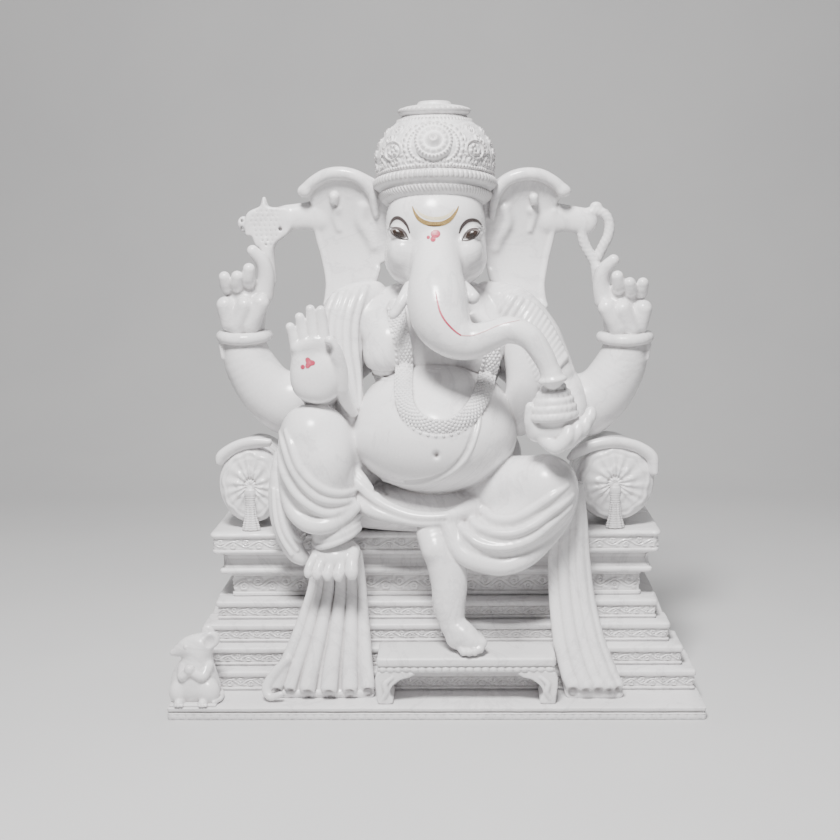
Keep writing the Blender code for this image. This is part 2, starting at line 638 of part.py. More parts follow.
def build_bolsters(neighbours):
    """Round cushions at both ends of the seat, with a tassel on each face."""
    pair, tassels = [], []
    for name, side in (("right", -1), ("left", 1)):
        centre_z = SEAT_TOP + JOINT_GAP + BOLSTER_RADIUS - 0.0005
        back = BOLSTER_FRONT + BOLSTER_LENGTH
        roll = turned([(0.0, BOLSTER_LENGTH), (BOLSTER_RADIUS - 0.004, BOLSTER_LENGTH),
                       (BOLSTER_RADIUS, BOLSTER_LENGTH - 0.004), (BOLSTER_RADIUS, 0.004),
                       (BOLSTER_RADIUS - 0.004, 0.0), (0.0, 0.0)], 24)
        roll.rotation_euler = (math.radians(90), 0, 0)
        roll.location = (side * BOLSTER_X, back, centre_z)
        pair.append(make("bolster_" + name, [roll], clear=neighbours))
        tassel = turned([(0.0, 0.2140), (0.0060, 0.2120), (0.0040, 0.2060), (0.0060, 0.1950),
                         (0.0085, SEAT_TOP + JOINT_GAP), (0.0, SEAT_TOP + JOINT_GAP)], 12)
        tassel.location = (side * BOLSTER_X, BOLSTER_FRONT - 0.0040, 0)
        tassels.append(make("tassel_" + name, [tassel], CARVED, [pair[-1]]))
    return pair, tassels


def build_mouse():
    """The mouse that sits at the plinth's corner, looking up to the figure's right."""
    shapes = [ball((-0.2400, -0.0850, 0.0330), (0.0235, 0.0190, 0.0220)),
              ball((-0.2410, -0.0860, 0.0610), (0.0170, 0.0130, 0.0130), (0, -12, 0)),
              limb([(-0.2480, -0.0870, 0.0610), (-0.2610, -0.0870, 0.0635)], [0.0085, 0.0032], 1),
              ball((-0.2240, -0.0830, 0.0680), (0.0065, 0.0040, 0.0085)),
              limb([(-0.2360, -0.1000, 0.0420), (-0.2230, -0.1000, 0.0480)], [0.0060, 0.0045], 1),
              ball((-0.2310, -0.0980, 0.0165), (0.0140, 0.0080, 0.0045))]
    floor = block((-0.30, -0.20, -0.05), (0.0, 0.05, PLINTH_RISE + JOINT_GAP))
    mouse = combine(shapes[0], shapes[1:], "UNION")
    return make("mouse", [combine(mouse, [floor], "DIFFERENCE")])


plinth, core, steps, neck, cornice, slab = build_throne()
stool, stool_legs = build_footstool()
belly, chest, shawls, lap = build_body(slab)
band, dome, finial, medallion = build_crown()
head, trunk, ears, tusks = build_head(chest, shawls, band, dome)
right_leg, cuff, right_foot, fold, left_thigh, left_shin, left_foot = build_legs(slab, lap, belly)
bolsters, tassels = build_bolsters([slab, lap, left_thigh, right_leg, fold])
rear = build_rear_arms(chest, shawls, ears, bolsters)
build_attributes(rear[0][2], rear[1][2], ears)
build_front_arms(chest, shawls, belly, right_leg, left_thigh, rear)
build_ornaments(chest, belly, trunk, shawls)
build_drapes([slab, cornice, neck, *steps, plinth, stool, *stool_legs, right_foot, cuff, fold,
              left_thigh, right_leg, lap, *tassels])
build_mouse()
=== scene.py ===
"""Ganesha idol in polished white marble: the finished look of the CAD frame.

Metres, +Z up, the figure faces -Y. "right" and "left" are the figure's own sides, so the
right leg is on the viewer's left (-X). The figure is sculpted as one distance field, so
that neighbouring members flow into each other as carved stone does. It is meshed once and
split along the members, one piece for each CAD node.
"""
import math
import json
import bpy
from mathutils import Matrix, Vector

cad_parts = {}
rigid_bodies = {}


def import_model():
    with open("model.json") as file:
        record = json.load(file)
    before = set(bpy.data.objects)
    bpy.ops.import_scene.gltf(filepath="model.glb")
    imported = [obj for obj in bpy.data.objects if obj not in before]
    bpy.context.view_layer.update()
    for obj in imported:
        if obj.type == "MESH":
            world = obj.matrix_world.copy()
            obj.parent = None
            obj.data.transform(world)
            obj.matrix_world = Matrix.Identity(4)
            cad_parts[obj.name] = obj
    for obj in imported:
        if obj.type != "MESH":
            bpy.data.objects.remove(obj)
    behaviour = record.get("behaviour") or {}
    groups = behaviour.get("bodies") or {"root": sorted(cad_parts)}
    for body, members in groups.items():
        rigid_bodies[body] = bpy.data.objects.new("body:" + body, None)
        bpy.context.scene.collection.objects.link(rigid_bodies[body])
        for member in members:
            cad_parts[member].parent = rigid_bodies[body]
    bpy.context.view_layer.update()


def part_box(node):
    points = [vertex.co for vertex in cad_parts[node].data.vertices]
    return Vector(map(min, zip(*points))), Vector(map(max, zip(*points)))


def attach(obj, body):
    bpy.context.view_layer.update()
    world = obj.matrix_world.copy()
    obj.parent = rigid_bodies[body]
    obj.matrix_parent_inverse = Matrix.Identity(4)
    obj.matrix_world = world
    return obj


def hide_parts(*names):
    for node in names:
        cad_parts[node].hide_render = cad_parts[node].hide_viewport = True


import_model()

from concurrent.futures import ThreadPoolExecutor

import bmesh
import bpy
import numpy as np
from mathutils import Matrix, Vector

# ------------------------------------------------------------------ sizes and places, in metres
VOXEL = 0.0012                  # grid step of the figure's field
FINE_VOXEL = 0.0009             # grid step of the bolsters' covers
MOUSE_VOXEL = 0.0008
BLOCK = 16                      # grid points along the side of one block of a field
FIELD_LOW = np.array([-0.24, -0.115, 0.009])
FIELD_HIGH = np.array([0.24, 0.1, 0.545])
MOUSE_LOW, MOUSE_HIGH = (-0.27, -0.114, 0.01), (-0.205, -0.056, 0.092)
SHEET_MARGIN = 0.012            # how far a sheet's distance table goes past its outline
SHEET_CELL = 0.0006
BEFORE_ALL = -0.118             # a depth in front of the whole figure
HEAD_X = 0.005                  # middle of the head, crown and brow mark
EYES = (("right", -0.0304, 0.4731, -1), ("left", 0.0411, 0.471, 1))
EYE_SLANT = math.radians(26)
STRUT_DEPTH = 0.036             # middle of the goad, the noose and their struts
HEM_FLOOR = 0.0165              # where the hanging cloths meet the plinth
CROWN_AXIS = np.array([HEAD_X, 0.012, 0.0])
BAND_RADIUS = 0.0625
MEDALLION_AT = np.array([HEAD_X, -0.0425, 0.5605])
BOLSTER_FRONT, BOLSTER_BACK = -0.015, 0.0695
BOLSTER_FLOOR = 0.1695
BEAD_STEP = 0.0032              # along the garland
BEAD_RADII = (0.0018, 0.0012, 0.0018)
CAMERA_AT = (0.0331, -1.266, 0.4831)
CAMERA_LENS, CAMERA_SENSOR = 53.1, 36.0
CAMERA_TURN, CAMERA_DOWN, CAMERA_ROLL = [math.radians(a) for a in (2.12, 9.05, -0.892)]


def unit(vector):
    """The vector at length one."""
    vector = np.asarray(vector, dtype=float)
    return vector / np.linalg.norm(vector)


def run_length(points):
    """How far along the line each of its points lies."""
    return np.concatenate([[0], np.cumsum(np.linalg.norm(np.diff(points, axis=0), axis=1))])


# ------------------------------------------------------------------ distance field shapes
def soft_min(a, b, k):
    """The smaller of two distances, blended over k."""
    h = np.clip(0.5 + 0.5 * (b - a) / k, 0.0, 1.0)
    return b + (a - b) * h - k * h * (1.0 - h)


def eased(values, steps):
    """Catmull-Rom run through the values, with steps to each span."""
    values = np.asarray(values, dtype=float)
    padded = np.concatenate([values[:1], values, values[-1:]])
    t = (np.arange(steps) / steps).reshape(-1, *[1] * (values.ndim - 1))
    run = []
    for i in range(len(values) - 1):
        a, b, c, d = padded[i:i + 4]
        run.append(0.5 * (2 * b + (c - a) * t + (2 * a - 5 * b + 4 * c - d) * t ** 2
                          + (3 * b - a - 3 * c + d) * t ** 3))
    run.append(values[-1:])
    return np.concatenate(run)


def turn_matrix(turn):
    """Rotation matrix from degrees about X, then Y, then Z."""
    x, y, z = [math.radians(angle) for angle in turn]
    rx = np.array([[1, 0, 0], [0, math.cos(x), -math.sin(x)], [0, math.sin(x), math.cos(x)]])
    ry = np.array([[math.cos(y), 0, math.sin(y)], [0, 1, 0], [-math.sin(y), 0, math.cos(y)]])
    rz = np.array([[math.cos(z), -math.sin(z), 0], [math.sin(z), math.cos(z), 0], [0, 0, 1]])
    return rz @ ry @ rx


class Ball:
    """An ellipsoid with a turn in degrees."""

    def __init__(self, at, radii, turn=(0, 0, 0)):
        self.at = np.asarray(at, dtype=np.float32)
        self.radii = np.asarray(radii, dtype=np.float32)
        self.axes = turn_matrix(turn).astype(np.float32)

    def distance(self, p):
        q = ((p - self.at) @ self.axes) / self.radii
        k0 = np.sqrt((q * q).sum(1)) + 1e-6
        q /= self.radii
        return k0 * (k0 - 1.0) / np.sqrt((q * q).sum(1) + 1e-9)


class Block:
    """A box with rounded edges."""

    def __init__(self, at, half, edge, turn=(0, 0, 0)):
        self.at = np.asarray(at, dtype=np.float32)
        self.half = np.asarray(half, dtype=np.float32) - edge
        self.edge = edge
        self.axes = turn_matrix(turn).astype(np.float32)

    def distance(self, p):
        q = np.abs((p - self.at) @ self.axes) - self.half
        outside = np.sqrt((np.maximum(q, 0.0) ** 2).sum(1))
        return outside + np.minimum(q.max(1), 0.0) - self.edge


class Limb:
    """A bar along a smooth path; flat squeezes it along one direction."""

    def __init__(self, points, radii, steps=4, flat=None):
        radii = [radii] * len(points) if np.isscalar(radii) else radii
        self.flat = None
        path = eased(points, steps)
        sizes = eased(radii, steps)
        if flat is not None:
            direction, self.factor = unit(flat[0]), flat[1]
            self.flat = (np.eye(3) + (self.factor - 1) * np.outer(direction, direction))
            self.flat = self.flat.astype(np.float32)
            path = path @ self.flat
        self.start = path[:-1].astype(np.float32)
        self.along = (path[1:] - path[:-1]).astype(np.float32)
        self.length2 = np.maximum((self.along ** 2).sum(1), 1e-10)
        self.size = sizes[:-1].astype(np.float32)
        self.grow = (sizes[1:] - sizes[:-1]).astype(np.float32)

    def distance(self, p):
        if self.flat is not None:
            p = p @ self.flat
        middle = p.mean(0)
        p = p - middle
        start = self.start - middle
        reach = math.sqrt((p * p).sum(1).max())
        t = np.clip(-(start * self.along).sum(1) / self.length2, 0, 1)
        gap = np.linalg.norm(start + t[:, None] * self.along, axis=1) - self.size - t * self.grow
        near = np.flatnonzero(gap <= gap.min() + 2.0 * reach)
        start, along, length2 = start[near], self.along[near], self.length2[near]
        best = np.full(len(p), 1.0, dtype=np.float32)
        for low in range(0, len(p), 8192):
            q = p[low:low + 8192]
            dot = q @ along.T - (start * along).sum(1)
            t = np.clip(dot / length2, 0, 1)
            far2 = (q * q).sum(1)[:, None] - 2 * (q @ start.T) + (start * start).sum(1)
            gap = np.sqrt(np.maximum(far2 + t * (t * length2 - 2 * dot), 0.0))
            best[low:low + 8192] = (gap - self.size[near] - t * self.grow[near]).min(1)
        return best if self.flat is None else best / self.factor


class Sheet:
    """A sheet of the outline's (x, z) shape whose middle lies at depth(x, z)."""

    def __init__(self, outline, depth, half, edge=0.002):
        ring = eased(list(outline) + [outline[0]], 4)[:-1]
        self.depth, self.half, self.edge = depth, half, edge
        self.low = ring.min(0) - SHEET_MARGIN
        counts = np.ceil((ring.max(0) + SHEET_MARGIN - self.low) / SHEET_CELL).astype(int) + 1
        x, z = np.meshgrid(*[self.low[k] + np.arange(counts[k]) * SHEET_CELL for k in range(2)],
                           indexing="ij")
        best = np.full(x.shape, 1.0)
        inside = np.zeros(x.shape, dtype=bool)
        for (ax, az), (bx, bz) in zip(ring, np.roll(ring, -1, axis=0)):
            ex, ez = bx - ax, bz - az
            wx, wz = x - ax, z - az
            t = np.clip((wx * ex + wz * ez) / (ex * ex + ez * ez), 0, 1)
            best = np.minimum(best, (wx - t * ex) ** 2 + (wz - t * ez) ** 2)
            if az != bz:
                inside ^= ((az > z) != (bz > z)) & (x < ex * (z - az) / (bz - az) + ax)
        self.table = (np.sqrt(best) * np.where(inside, -1.0, 1.0)).astype(np.float32)

    def distance(self, p):
        x, z = p[:, 0], p[:, 2]
        q = (p[:, [0, 2]] - self.low) / SHEET_CELL
        inner = np.clip(q, 0, np.array(self.table.shape) - 1.001)
        i, k = inner.astype(np.int32).T
        fx, fz = (inner - np.floor(inner)).T
        side = ((self.table[i, k] * (1 - fx) + self.table[i + 1, k] * fx) * (1 - fz)
                + (self.table[i, k + 1] * (1 - fx) + self.table[i + 1, k + 1] * fx) * fz)
        side = side + np.linalg.norm(q - inner, axis=1) * SHEET_CELL + self.edge
        half = self.half(x, z) if callable(self.half) else self.half
        face = np.abs(p[:, 1] - self.depth(x, z)) - half + self.edge
        outer = np.sqrt(np.maximum(side, 0) ** 2 + np.maximum(face, 0) ** 2)
        gap = (outer + np.minimum(np.maximum(side, face), 0) - self.edge) * 0.85
        return gap.astype(np.float32)


class Member:
    """One member of the figure: shapes added to or cut from its own field."""

    def __init__(self, node, blend=0.002, slot="polished_marble"):
        self.node = node
        self.blend = blend
        self.slot = slot
        self.steps = []

    def add(self, shape, blend=0.003):
        self.steps.append((1, shape, blend))
        return self

    def cut(self, shape, blend=0.002):
        self.steps.append((-1, shape, blend))
        return self

    def mix(self, gaps):
        """The member's field from its shapes' distances, None for a shape left out."""
        total = None
        for (sign, _, blend), gap in zip(self.steps, gaps):
            if gap is None:
                continue
            if sign > 0:
                total = gap if total is None else soft_min(total, gap, blend)
            elif total is not None:
                total = -soft_min(-total, gap, blend)
        return total

    def field(self, p, use=None):
        """The member's distance at the points; use says which of its shapes are near."""
        gaps = [shape.distance(p) if use is None or use[i] else None
                for i, (_, shape, _) in enumerate(self.steps)]
        total = self.mix(gaps)
        return np.full(len(p), 1.0, dtype=np.float32) if total is None else total


def front_of(members, spots, sink=0.0):
    """The (x, y, z) points where lines from the front meet the members, sunk in by sink."""
    spots = np.asarray(spots, dtype=np.float32)
    p = np.stack([spots[:, 0], np.full(len(spots), BEFORE_ALL, np.float32), spots[:, 1]], 1)
    for _ in range(60):
        gap = members[0].field(p)
        for member in members[1:]:
            gap = soft_min(gap, member.field(p), member.blend)
        p[:, 1] += np.clip(gap, 0.0, 0.02) * 0.9
    p[:, 1] = np.minimum(p[:, 1], 0.05) + sink
    return p


def ridge(member, spots, radius, sink=0.0, blend=0.002, on=None, steps=6, cut=False):
    """A raised roll, or a groove, laid on the front of the members along (x, z) spots."""
    points = front_of(on or [member], eased(spots, steps), sink)
    radii = radius if np.isscalar(radius) else list(eased(radius, steps))
    shape = Limb(points, radii, 1)
    if cut:
        member.cut(shape, blend)
    else:
        member.add(shape, blend)


def sample(field, q):
    """Trilinear values of the field at grid positions q."""
    base = np.clip(np.floor(q).astype(np.int32), 0, np.array(field.shape, np.int32) - 2)
    f = (q - base).astype(np.float32)
    total = np.zeros(len(q), dtype=np.float32)
    for corner in range(8):
        step = np.array([corner & 1, corner >> 1 & 1, corner >> 2 & 1])
        weight = np.prod(np.where(step == 1, f, 1.0 - f), axis=1)
        i, j, k = (base + step).T
        total += weight * field[i, j, k]
    return total


def gradient(field, q, reach=0.8):
    """Central-difference gradient of the field at grid positions q."""
    parts = []
    for axis in range(3):
        step = np.zeros(3)
        step[axis] = reach
        parts.append((sample(field, q + step) - sample(field, q - step)) / (2 * reach))
    return np.stack(parts, 1)


def fill_field(members, low, high, voxel):
    """The blended field of the members on a grid, and which member owns each point."""
    counts = np.ceil((np.asarray(high) - low) / (voxel * BLOCK)).astype(int)
    reach = voxel * BLOCK * math.sqrt(3) / 2
    cells = np.stack(np.meshgrid(*[np.arange(n) for n in counts], indexing="ij"), -1)
    cells = cells.reshape(-1, 3)
    centres = (low + (cells + 0.5) * BLOCK * voxel).astype(np.float32)
    near, coarse = [], []
    for member in members:
        gaps = np.array([shape.distance(centres) for _, shape, _ in member.steps])
        limits = np.array([1.25 * reach + 0.002 + blend for _, _, blend in member.steps])
        near.append(gaps < limits[:, None])
        coarse.append(member.mix(gaps))
    coarse = np.array(coarse)
    nearest = coarse.min(0)
    field = np.empty(counts * BLOCK, dtype=np.float32)
    owner = np.zeros(counts * BLOCK, dtype=np.uint8)
    steps = np.stack(np.meshgrid(*[np.arange(BLOCK)] * 3, indexing="ij"), -1).reshape(-1, 3)

    def fill_block(n):
        cell = cells[n]
        where = tuple(slice(c * BLOCK, (c + 1) * BLOCK) for c in cell)
        if abs(nearest[n]) > 1.4 * reach:
            field[where] = 1.0 if nearest[n] > 0 else -1.0
            return
        p = (low + (cell * BLOCK + steps) * voxel).astype(np.float32)
        total = None
        for m in np.flatnonzero(coarse[:, n] < 1.25 * reach + 0.004):
            gap = members[m].field(p, near[m][:, n])
            if total is None:
                total, best, label = gap, gap, np.full(len(p), m, np.uint8)
            else:
                label = np.where(gap < best, m, label)
                best = np.minimum(gap, best)
                total = soft_min(total, gap, members[m].blend)
        field[where] = 1.0 if total is None else total.reshape(BLOCK, BLOCK, BLOCK)
        if total is not None:
            owner[where] = label.reshape(BLOCK, BLOCK, BLOCK)

    with ThreadPoolExecutor(4) as pool:
        list(pool.map(fill_block, range(len(cells)), chunksize=16))
    return field, owner


CORNERS = np.array([[c & 1, c >> 1 & 1, c >> 2 & 1] for c in range(8)])
CELL_EDGES = [(a, b) for a in range(8) for b in range(a + 1, 8)
              if np.abs(CORNERS[a] - CORNERS[b]).sum() == 1]


def surface(field, low, voxel):
    """Surface nets: one point in each crossed cell, one quad across each crossed edge."""
    solid = field < 0
    shape = np.array(field.shape)
    some = np.zeros(shape - 1, dtype=bool)
    every = np.ones(shape - 1, dtype=bool)
    for x, y, z in CORNERS:
        view = solid[x:shape[0] - 1 + x, y:shape[1] - 1 + y, z:shape[2] - 1 + z]
        some |= view
        every &= view
    cells = np.argwhere(some & ~every)
    values = np.stack([field[tuple((cells + corner).T)] for corner in CORNERS], 1)
    total = np.zeros((len(cells), 3), dtype=np.float32)
    count = np.zeros(len(cells), dtype=np.float32)
    for a, b in CELL_EDGES:
        va, vb = values[:, a], values[:, b]
        crossed = (va < 0) != (vb < 0)
        t = np.where(crossed, va / np.where(crossed, va - vb, 1.0), 0.0)[:, None]
        total += np.where(crossed[:, None], CORNERS[a] + t * (CORNERS[b] - CORNERS[a]), 0.0)
        count += crossed
    q = cells + total / count[:, None]
    for _ in range(2):
        slope = gradient(field, q)
        move = sample(field, q)[:, None] * slope / np.maximum((slope ** 2).sum(1), 1e-9)[:, None]
        q = q - np.clip(move, -0.4, 0.4)
    normals = gradient(field, q, 1.1)
    normals /= np.linalg.norm(normals, axis=1)[:, None] + 1e-12
    ids = np.full(shape - 1, -1, dtype=np.int32)
    ids[tuple(cells.T)] = np.arange(len(cells))
    quads = []
    for axis in range(3):
        u, v = (axis + 1) % 3, (axis + 2) % 3
        first = [slice(None)] * 3
        second = [slice(None)] * 3
        first[axis], second[axis] = slice(None, -1), slice(1, None)
        a, b = solid[tuple(first)], solid[tuple(second)]
        spots = np.argwhere(a != b)
        spots = spots[(spots[:, u] > 0) & (spots[:, v] > 0)
                      & (spots < shape - 1).all(1)]
        eu, ev = np.zeros(3, int), np.zeros(3, int)
        eu[u], ev[v] = 1, 1
        ring = [ids[tuple((spots - shift).T)] for shift in (eu + ev, ev, 0 * eu, eu)]
        ring = np.stack(ring, 1)
        inward = ~a[tuple(spots.T)]
        ring[inward] = ring[inward][:, ::-1]
        quads.append(ring[(ring >= 0).all(1)])
    return low + q * voxel, normals, np.concatenate(quads), cells


# ------------------------------------------------------------------ meshes and pieces
def build_mesh(name, points, quads, normals=None):
    """A smooth-shaded mesh from quads, or from triangles when the rows have three."""
    mesh = bpy.data.meshes.new(name)
    count, sides = quads.shape
    mesh.vertices.add(len(points))
    mesh.vertices.foreach_set("co", np.asarray(points, np.float32).ravel())
    mesh.loops.add(count * sides)
    mesh.loops.foreach_set("vertex_index", quads.astype(np.int32).ravel())
    mesh.polygons.add(count)
    mesh.polygons.foreach_set("loop_start", np.arange(count, dtype=np.int32) * sides)
    mesh.polygons.foreach_set("use_smooth", np.ones(count, dtype=bool))
    mesh.update(calc_edges=True)
    if normals is not None:
        mesh.normals_split_custom_set_from_vertices(normals.astype(float).tolist())
    return mesh


def piece(name, mesh, material, slot, *nodes):
    """A finished piece that rides on the root and stands for the CAD nodes."""
    made = bpy.data.objects.new(name, mesh)
    bpy.context.scene.collection.objects.link(made)
    made.data.materials.append(material)
    bpy.context.view_layer.update()
    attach(made, "root")
    if nodes:
        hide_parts(*nodes)
    return made


def stone(node, points, quads, slot="carved_marble", normals=None):
    """The marble piece that stands for one CAD node."""
    mesh = build_mesh(node + "_stone", points, quads, normals)
    return piece(node + "_stone", mesh, MARBLE[slot], slot, node)


def carve(members, low, high, voxel):
    """Mesh the members together and make one piece for each of them."""
    field, owner = fill_field(members, np.asarray(low), np.asarray(high), voxel)
    points, normals, quads, cells = surface(field, np.asarray(low), voxel)
    labels = owner[tuple(cells.T)]
    side = labels[quads[:, 0]]
    for m, member in enumerate(members):
        mine = quads[side == m]
        used, mine = np.unique(mine, return_inverse=True)
        stone(member.node, points[used], mine.reshape(-1, 4), member.slot, normals[used])


# ------------------------------------------------------------------ figure: head
def slanted(x, z, side):
    """Points round an eye from (along, up): along runs down towards the trunk."""
    c, s = math.cos(EYE_SLANT), math.sin(EYE_SLANT)
    return lambda u, v: (x - side * (u * c + v * s), z - u * s + v * c)


def make_head():
    """Skull, cheeks, the root of the trunk and the hooded eyes."""
    head = Member("head", 0.0015)
    head.add(Ball((HEAD_X, 0.01, 0.476), (0.051, 0.052, 0.066)))
    head.add(Ball((HEAD_X, -0.012, 0.486), (0.045, 0.035, 0.034)), 0.012)
    for side in (-1, 1):
        head.add(Ball((HEAD_X + side * 0.029, -0.01, 0.45), (0.0225, 0.032, 0.0285)), 0.008)
        head.add(Ball((HEAD_X + side * 0.0325, -0.034, 0.4555), (0.0125, 0.0105, 0.013)), 0.008)
    head.add(Ball((HEAD_X, 0.022, 0.412), (0.034, 0.04, 0.036)), 0.01)
    head.add(Ball((HEAD_X, -0.03, 0.425), (0.026, 0.03, 0.024)), 0.012)
    head.add(Limb([(0.0055, -0.02, 0.48), (0.0058, -0.032, 0.462), (0.0062, -0.044, 0.44)],
                  [0.017, 0.0185, 0.0205]), 0.01)
    for _, eye_x, eye_z, side in EYES:
        turn = (0, -side * math.degrees(EYE_SLANT), 0)
        head.cut(Ball((eye_x, -0.0485, eye_z), (0.0125, 0.0085, 0.0072), turn), 0.004)
        head.add(Ball((eye_x, -0.035, eye_z), (0.0098, 0.0085, 0.0064), turn), 0.001)
        spot = slanted(eye_x, eye_z, side)
        upper = [spot(-0.0125, -0.0005), spot(-0.006, 0.0058), spot(0.001, 0.0072),
                 spot(0.0075, 0.0048), spot(0.0125, -0.0012)]
        ridge(head, upper, 0.0017, 0.0004, 0.0015)
        under = [spot(-0.01, -0.003), spot(-0.004, -0.006), spot(0.004, -0.0062),
                 spot(0.0105, -0.0032)]
        ridge(head, under, 0.0013, 0.0003, 0.0015)
    return head


def make_trunk():
    """The trunk, curled to the figure's left, with a flared tip on the sweets."""
    path = [(0.0058, -0.024, 0.478), (0.006, -0.0345, 0.459), (0.0065, -0.0475, 0.439),
            (0.0068, -0.06, 0.421), (0.0078, -0.07, 0.405), (0.012, -0.08, 0.389),
            (0.0235, -0.088, 0.3755), (0.04, -0.092, 0.3712),
            (0.058, -0.096, 0.3768), (0.075, -0.098, 0.382), (0.0935, -0.099, 0.3755),
            (0.1065, -0.099, 0.358), (0.114, -0.099, 0.342)]
    radii = [0.0165, 0.0212, 0.0244, 0.0277, 0.0296, 0.0268, 0.0212, 0.0173, 0.0141, 0.0129, 0.0118,
             0.0105, 0.0095]
    trunk = Member("trunk", 0.003)
    trunk.add(Limb(path, radii, 5))
    trunk.add(Limb([(0.1145, -0.099, 0.34), (0.1158, -0.099, 0.3358)], [0.0096, 0.0108]), 0.003)
    trunk.add(Ball((0.116, -0.0995, 0.3345), (0.014, 0.0125, 0.0048), (0, -8, 0)), 0.0025)
    return trunk


def ear_depth(x, z):
    """How far back the middle of an ear lies: it turns back outwards and ripples."""
    return 0.02 + 0.1 * (np.abs(x - HEAD_X) - 0.055) + 0.012 * np.cos((z - 0.45) * 26.0)


def make_ears():
    """The two flat ears with their rolled rims, inner folds, knobs and holes."""
    right = [(-0.048, 0.52), (-0.0589, 0.5292), (-0.0772, 0.5365), (-0.0916, 0.5388),
             (-0.1112, 0.5361), (-0.128, 0.5263), (-0.1334, 0.5183), (-0.1235, 0.5029),
             (-0.1212, 0.4764), (-0.1174, 0.462), (-0.1127, 0.4465), (-0.1101, 0.4258),
             (-0.1119, 0.3988), (-0.0907, 0.4079), (-0.0613, 0.4189), (-0.0546, 0.4395),
             (-0.045, 0.448), (-0.04, 0.485)]
    left = [(0.06, 0.517), (0.067, 0.5251), (0.0813, 0.5329), (0.0976, 0.5356),
            (0.117, 0.5323), (0.1302, 0.524), (0.1394, 0.5138), (0.1292, 0.4989),
            (0.1273, 0.4696), (0.1201, 0.4534), (0.115, 0.433), (0.115, 0.4124),
            (0.117, 0.3917), (0.0912, 0.4045), (0.0633, 0.4183), (0.0562, 0.4379),
            (0.055, 0.448), (0.05, 0.485)]
    ears = []
    for name, outline, side, drop in (("ear_right", right, -1, 0.0), ("ear_left", left, 1, -0.004)):
        ear = Member(name, 0.0025)
        shift = 0.006 if side > 0 else 0.0
        ear.add(Sheet(outline, ear_depth, 0.0036, 0.0028))

        def rim(spots, radii, lift, blend=0.003, side=side, shift=shift, drop=drop, ear=ear):
            """A roll on the ear's face, its spots given as on the left ear."""
            points = [(side * x + shift,
                       float(ear_depth(np.float64(side * x), np.float64(z))) - lift, z + drop)
                      for x, z in spots]
            ear.add(Limb(points, radii, 5), blend)

        rim([(0.0565, 0.492), (0.06, 0.513), (0.07, 0.527), (0.086, 0.5335),
             (0.104, 0.533), (0.119, 0.526), (0.129, 0.517)],
            [0.003, 0.0052, 0.0062, 0.0064, 0.0064, 0.006, 0.0062], 0.005)
        rim([(0.1285, 0.517), (0.1315, 0.5165)], [0.0062, 0.005], 0.006)
        rim([(0.099, 0.5105), (0.0995, 0.506)], [0.0046, 0.004], 0.0065, 0.004)
        rim([(0.0975, 0.498), (0.099, 0.49), (0.096, 0.478)], [0.0026, 0.002, 0.0012], 0.003,
            0.006)
        rim([(0.07, 0.5), (0.072, 0.485), (0.064, 0.47), (0.06, 0.46)],
            [0.0028, 0.0036, 0.0034, 0.0026], 0.003, 0.008)
        rim([(0.056, 0.436), (0.064, 0.419), (0.082, 0.411), (0.1, 0.404),
             (0.111, 0.3995)], [0.0026, 0.0028, 0.0028, 0.0026, 0.0022], 0.0022, 0.004)
        rim([(0.1205, 0.496), (0.1185, 0.472), (0.1125, 0.445), (0.1085, 0.42),
             (0.1105, 0.401)], [0.0022, 0.0026, 0.0026, 0.0024, 0.002], 0.0022, 0.004)
        ear.cut(Ball((side * 0.0985 + shift, 0.01, 0.501 + drop), (0.0042, 0.013, 0.0024)), 0.002)
        ears.append(ear)
    return ears


def make_tusks():
    """The whole right tusk and the short broken left one."""
    right = Member("tusk_right", 0.0008)
    right.add(Limb([(-0.0205, -0.044, 0.421), (-0.0255, -0.055, 0.411), (-0.033, -0.061, 0.3985),
                    (-0.0362, -0.062, 0.3945)], [0.0058, 0.006, 0.005, 0.004], 4))
    left = Member("tusk_left", 0.0008)
    left.add(Limb([(0.033, -0.044, 0.421), (0.038, -0.053, 0.415), (0.0415, -0.057, 0.4105)],
                  [0.0055, 0.0064, 0.0068], 4))
    return [right, left]


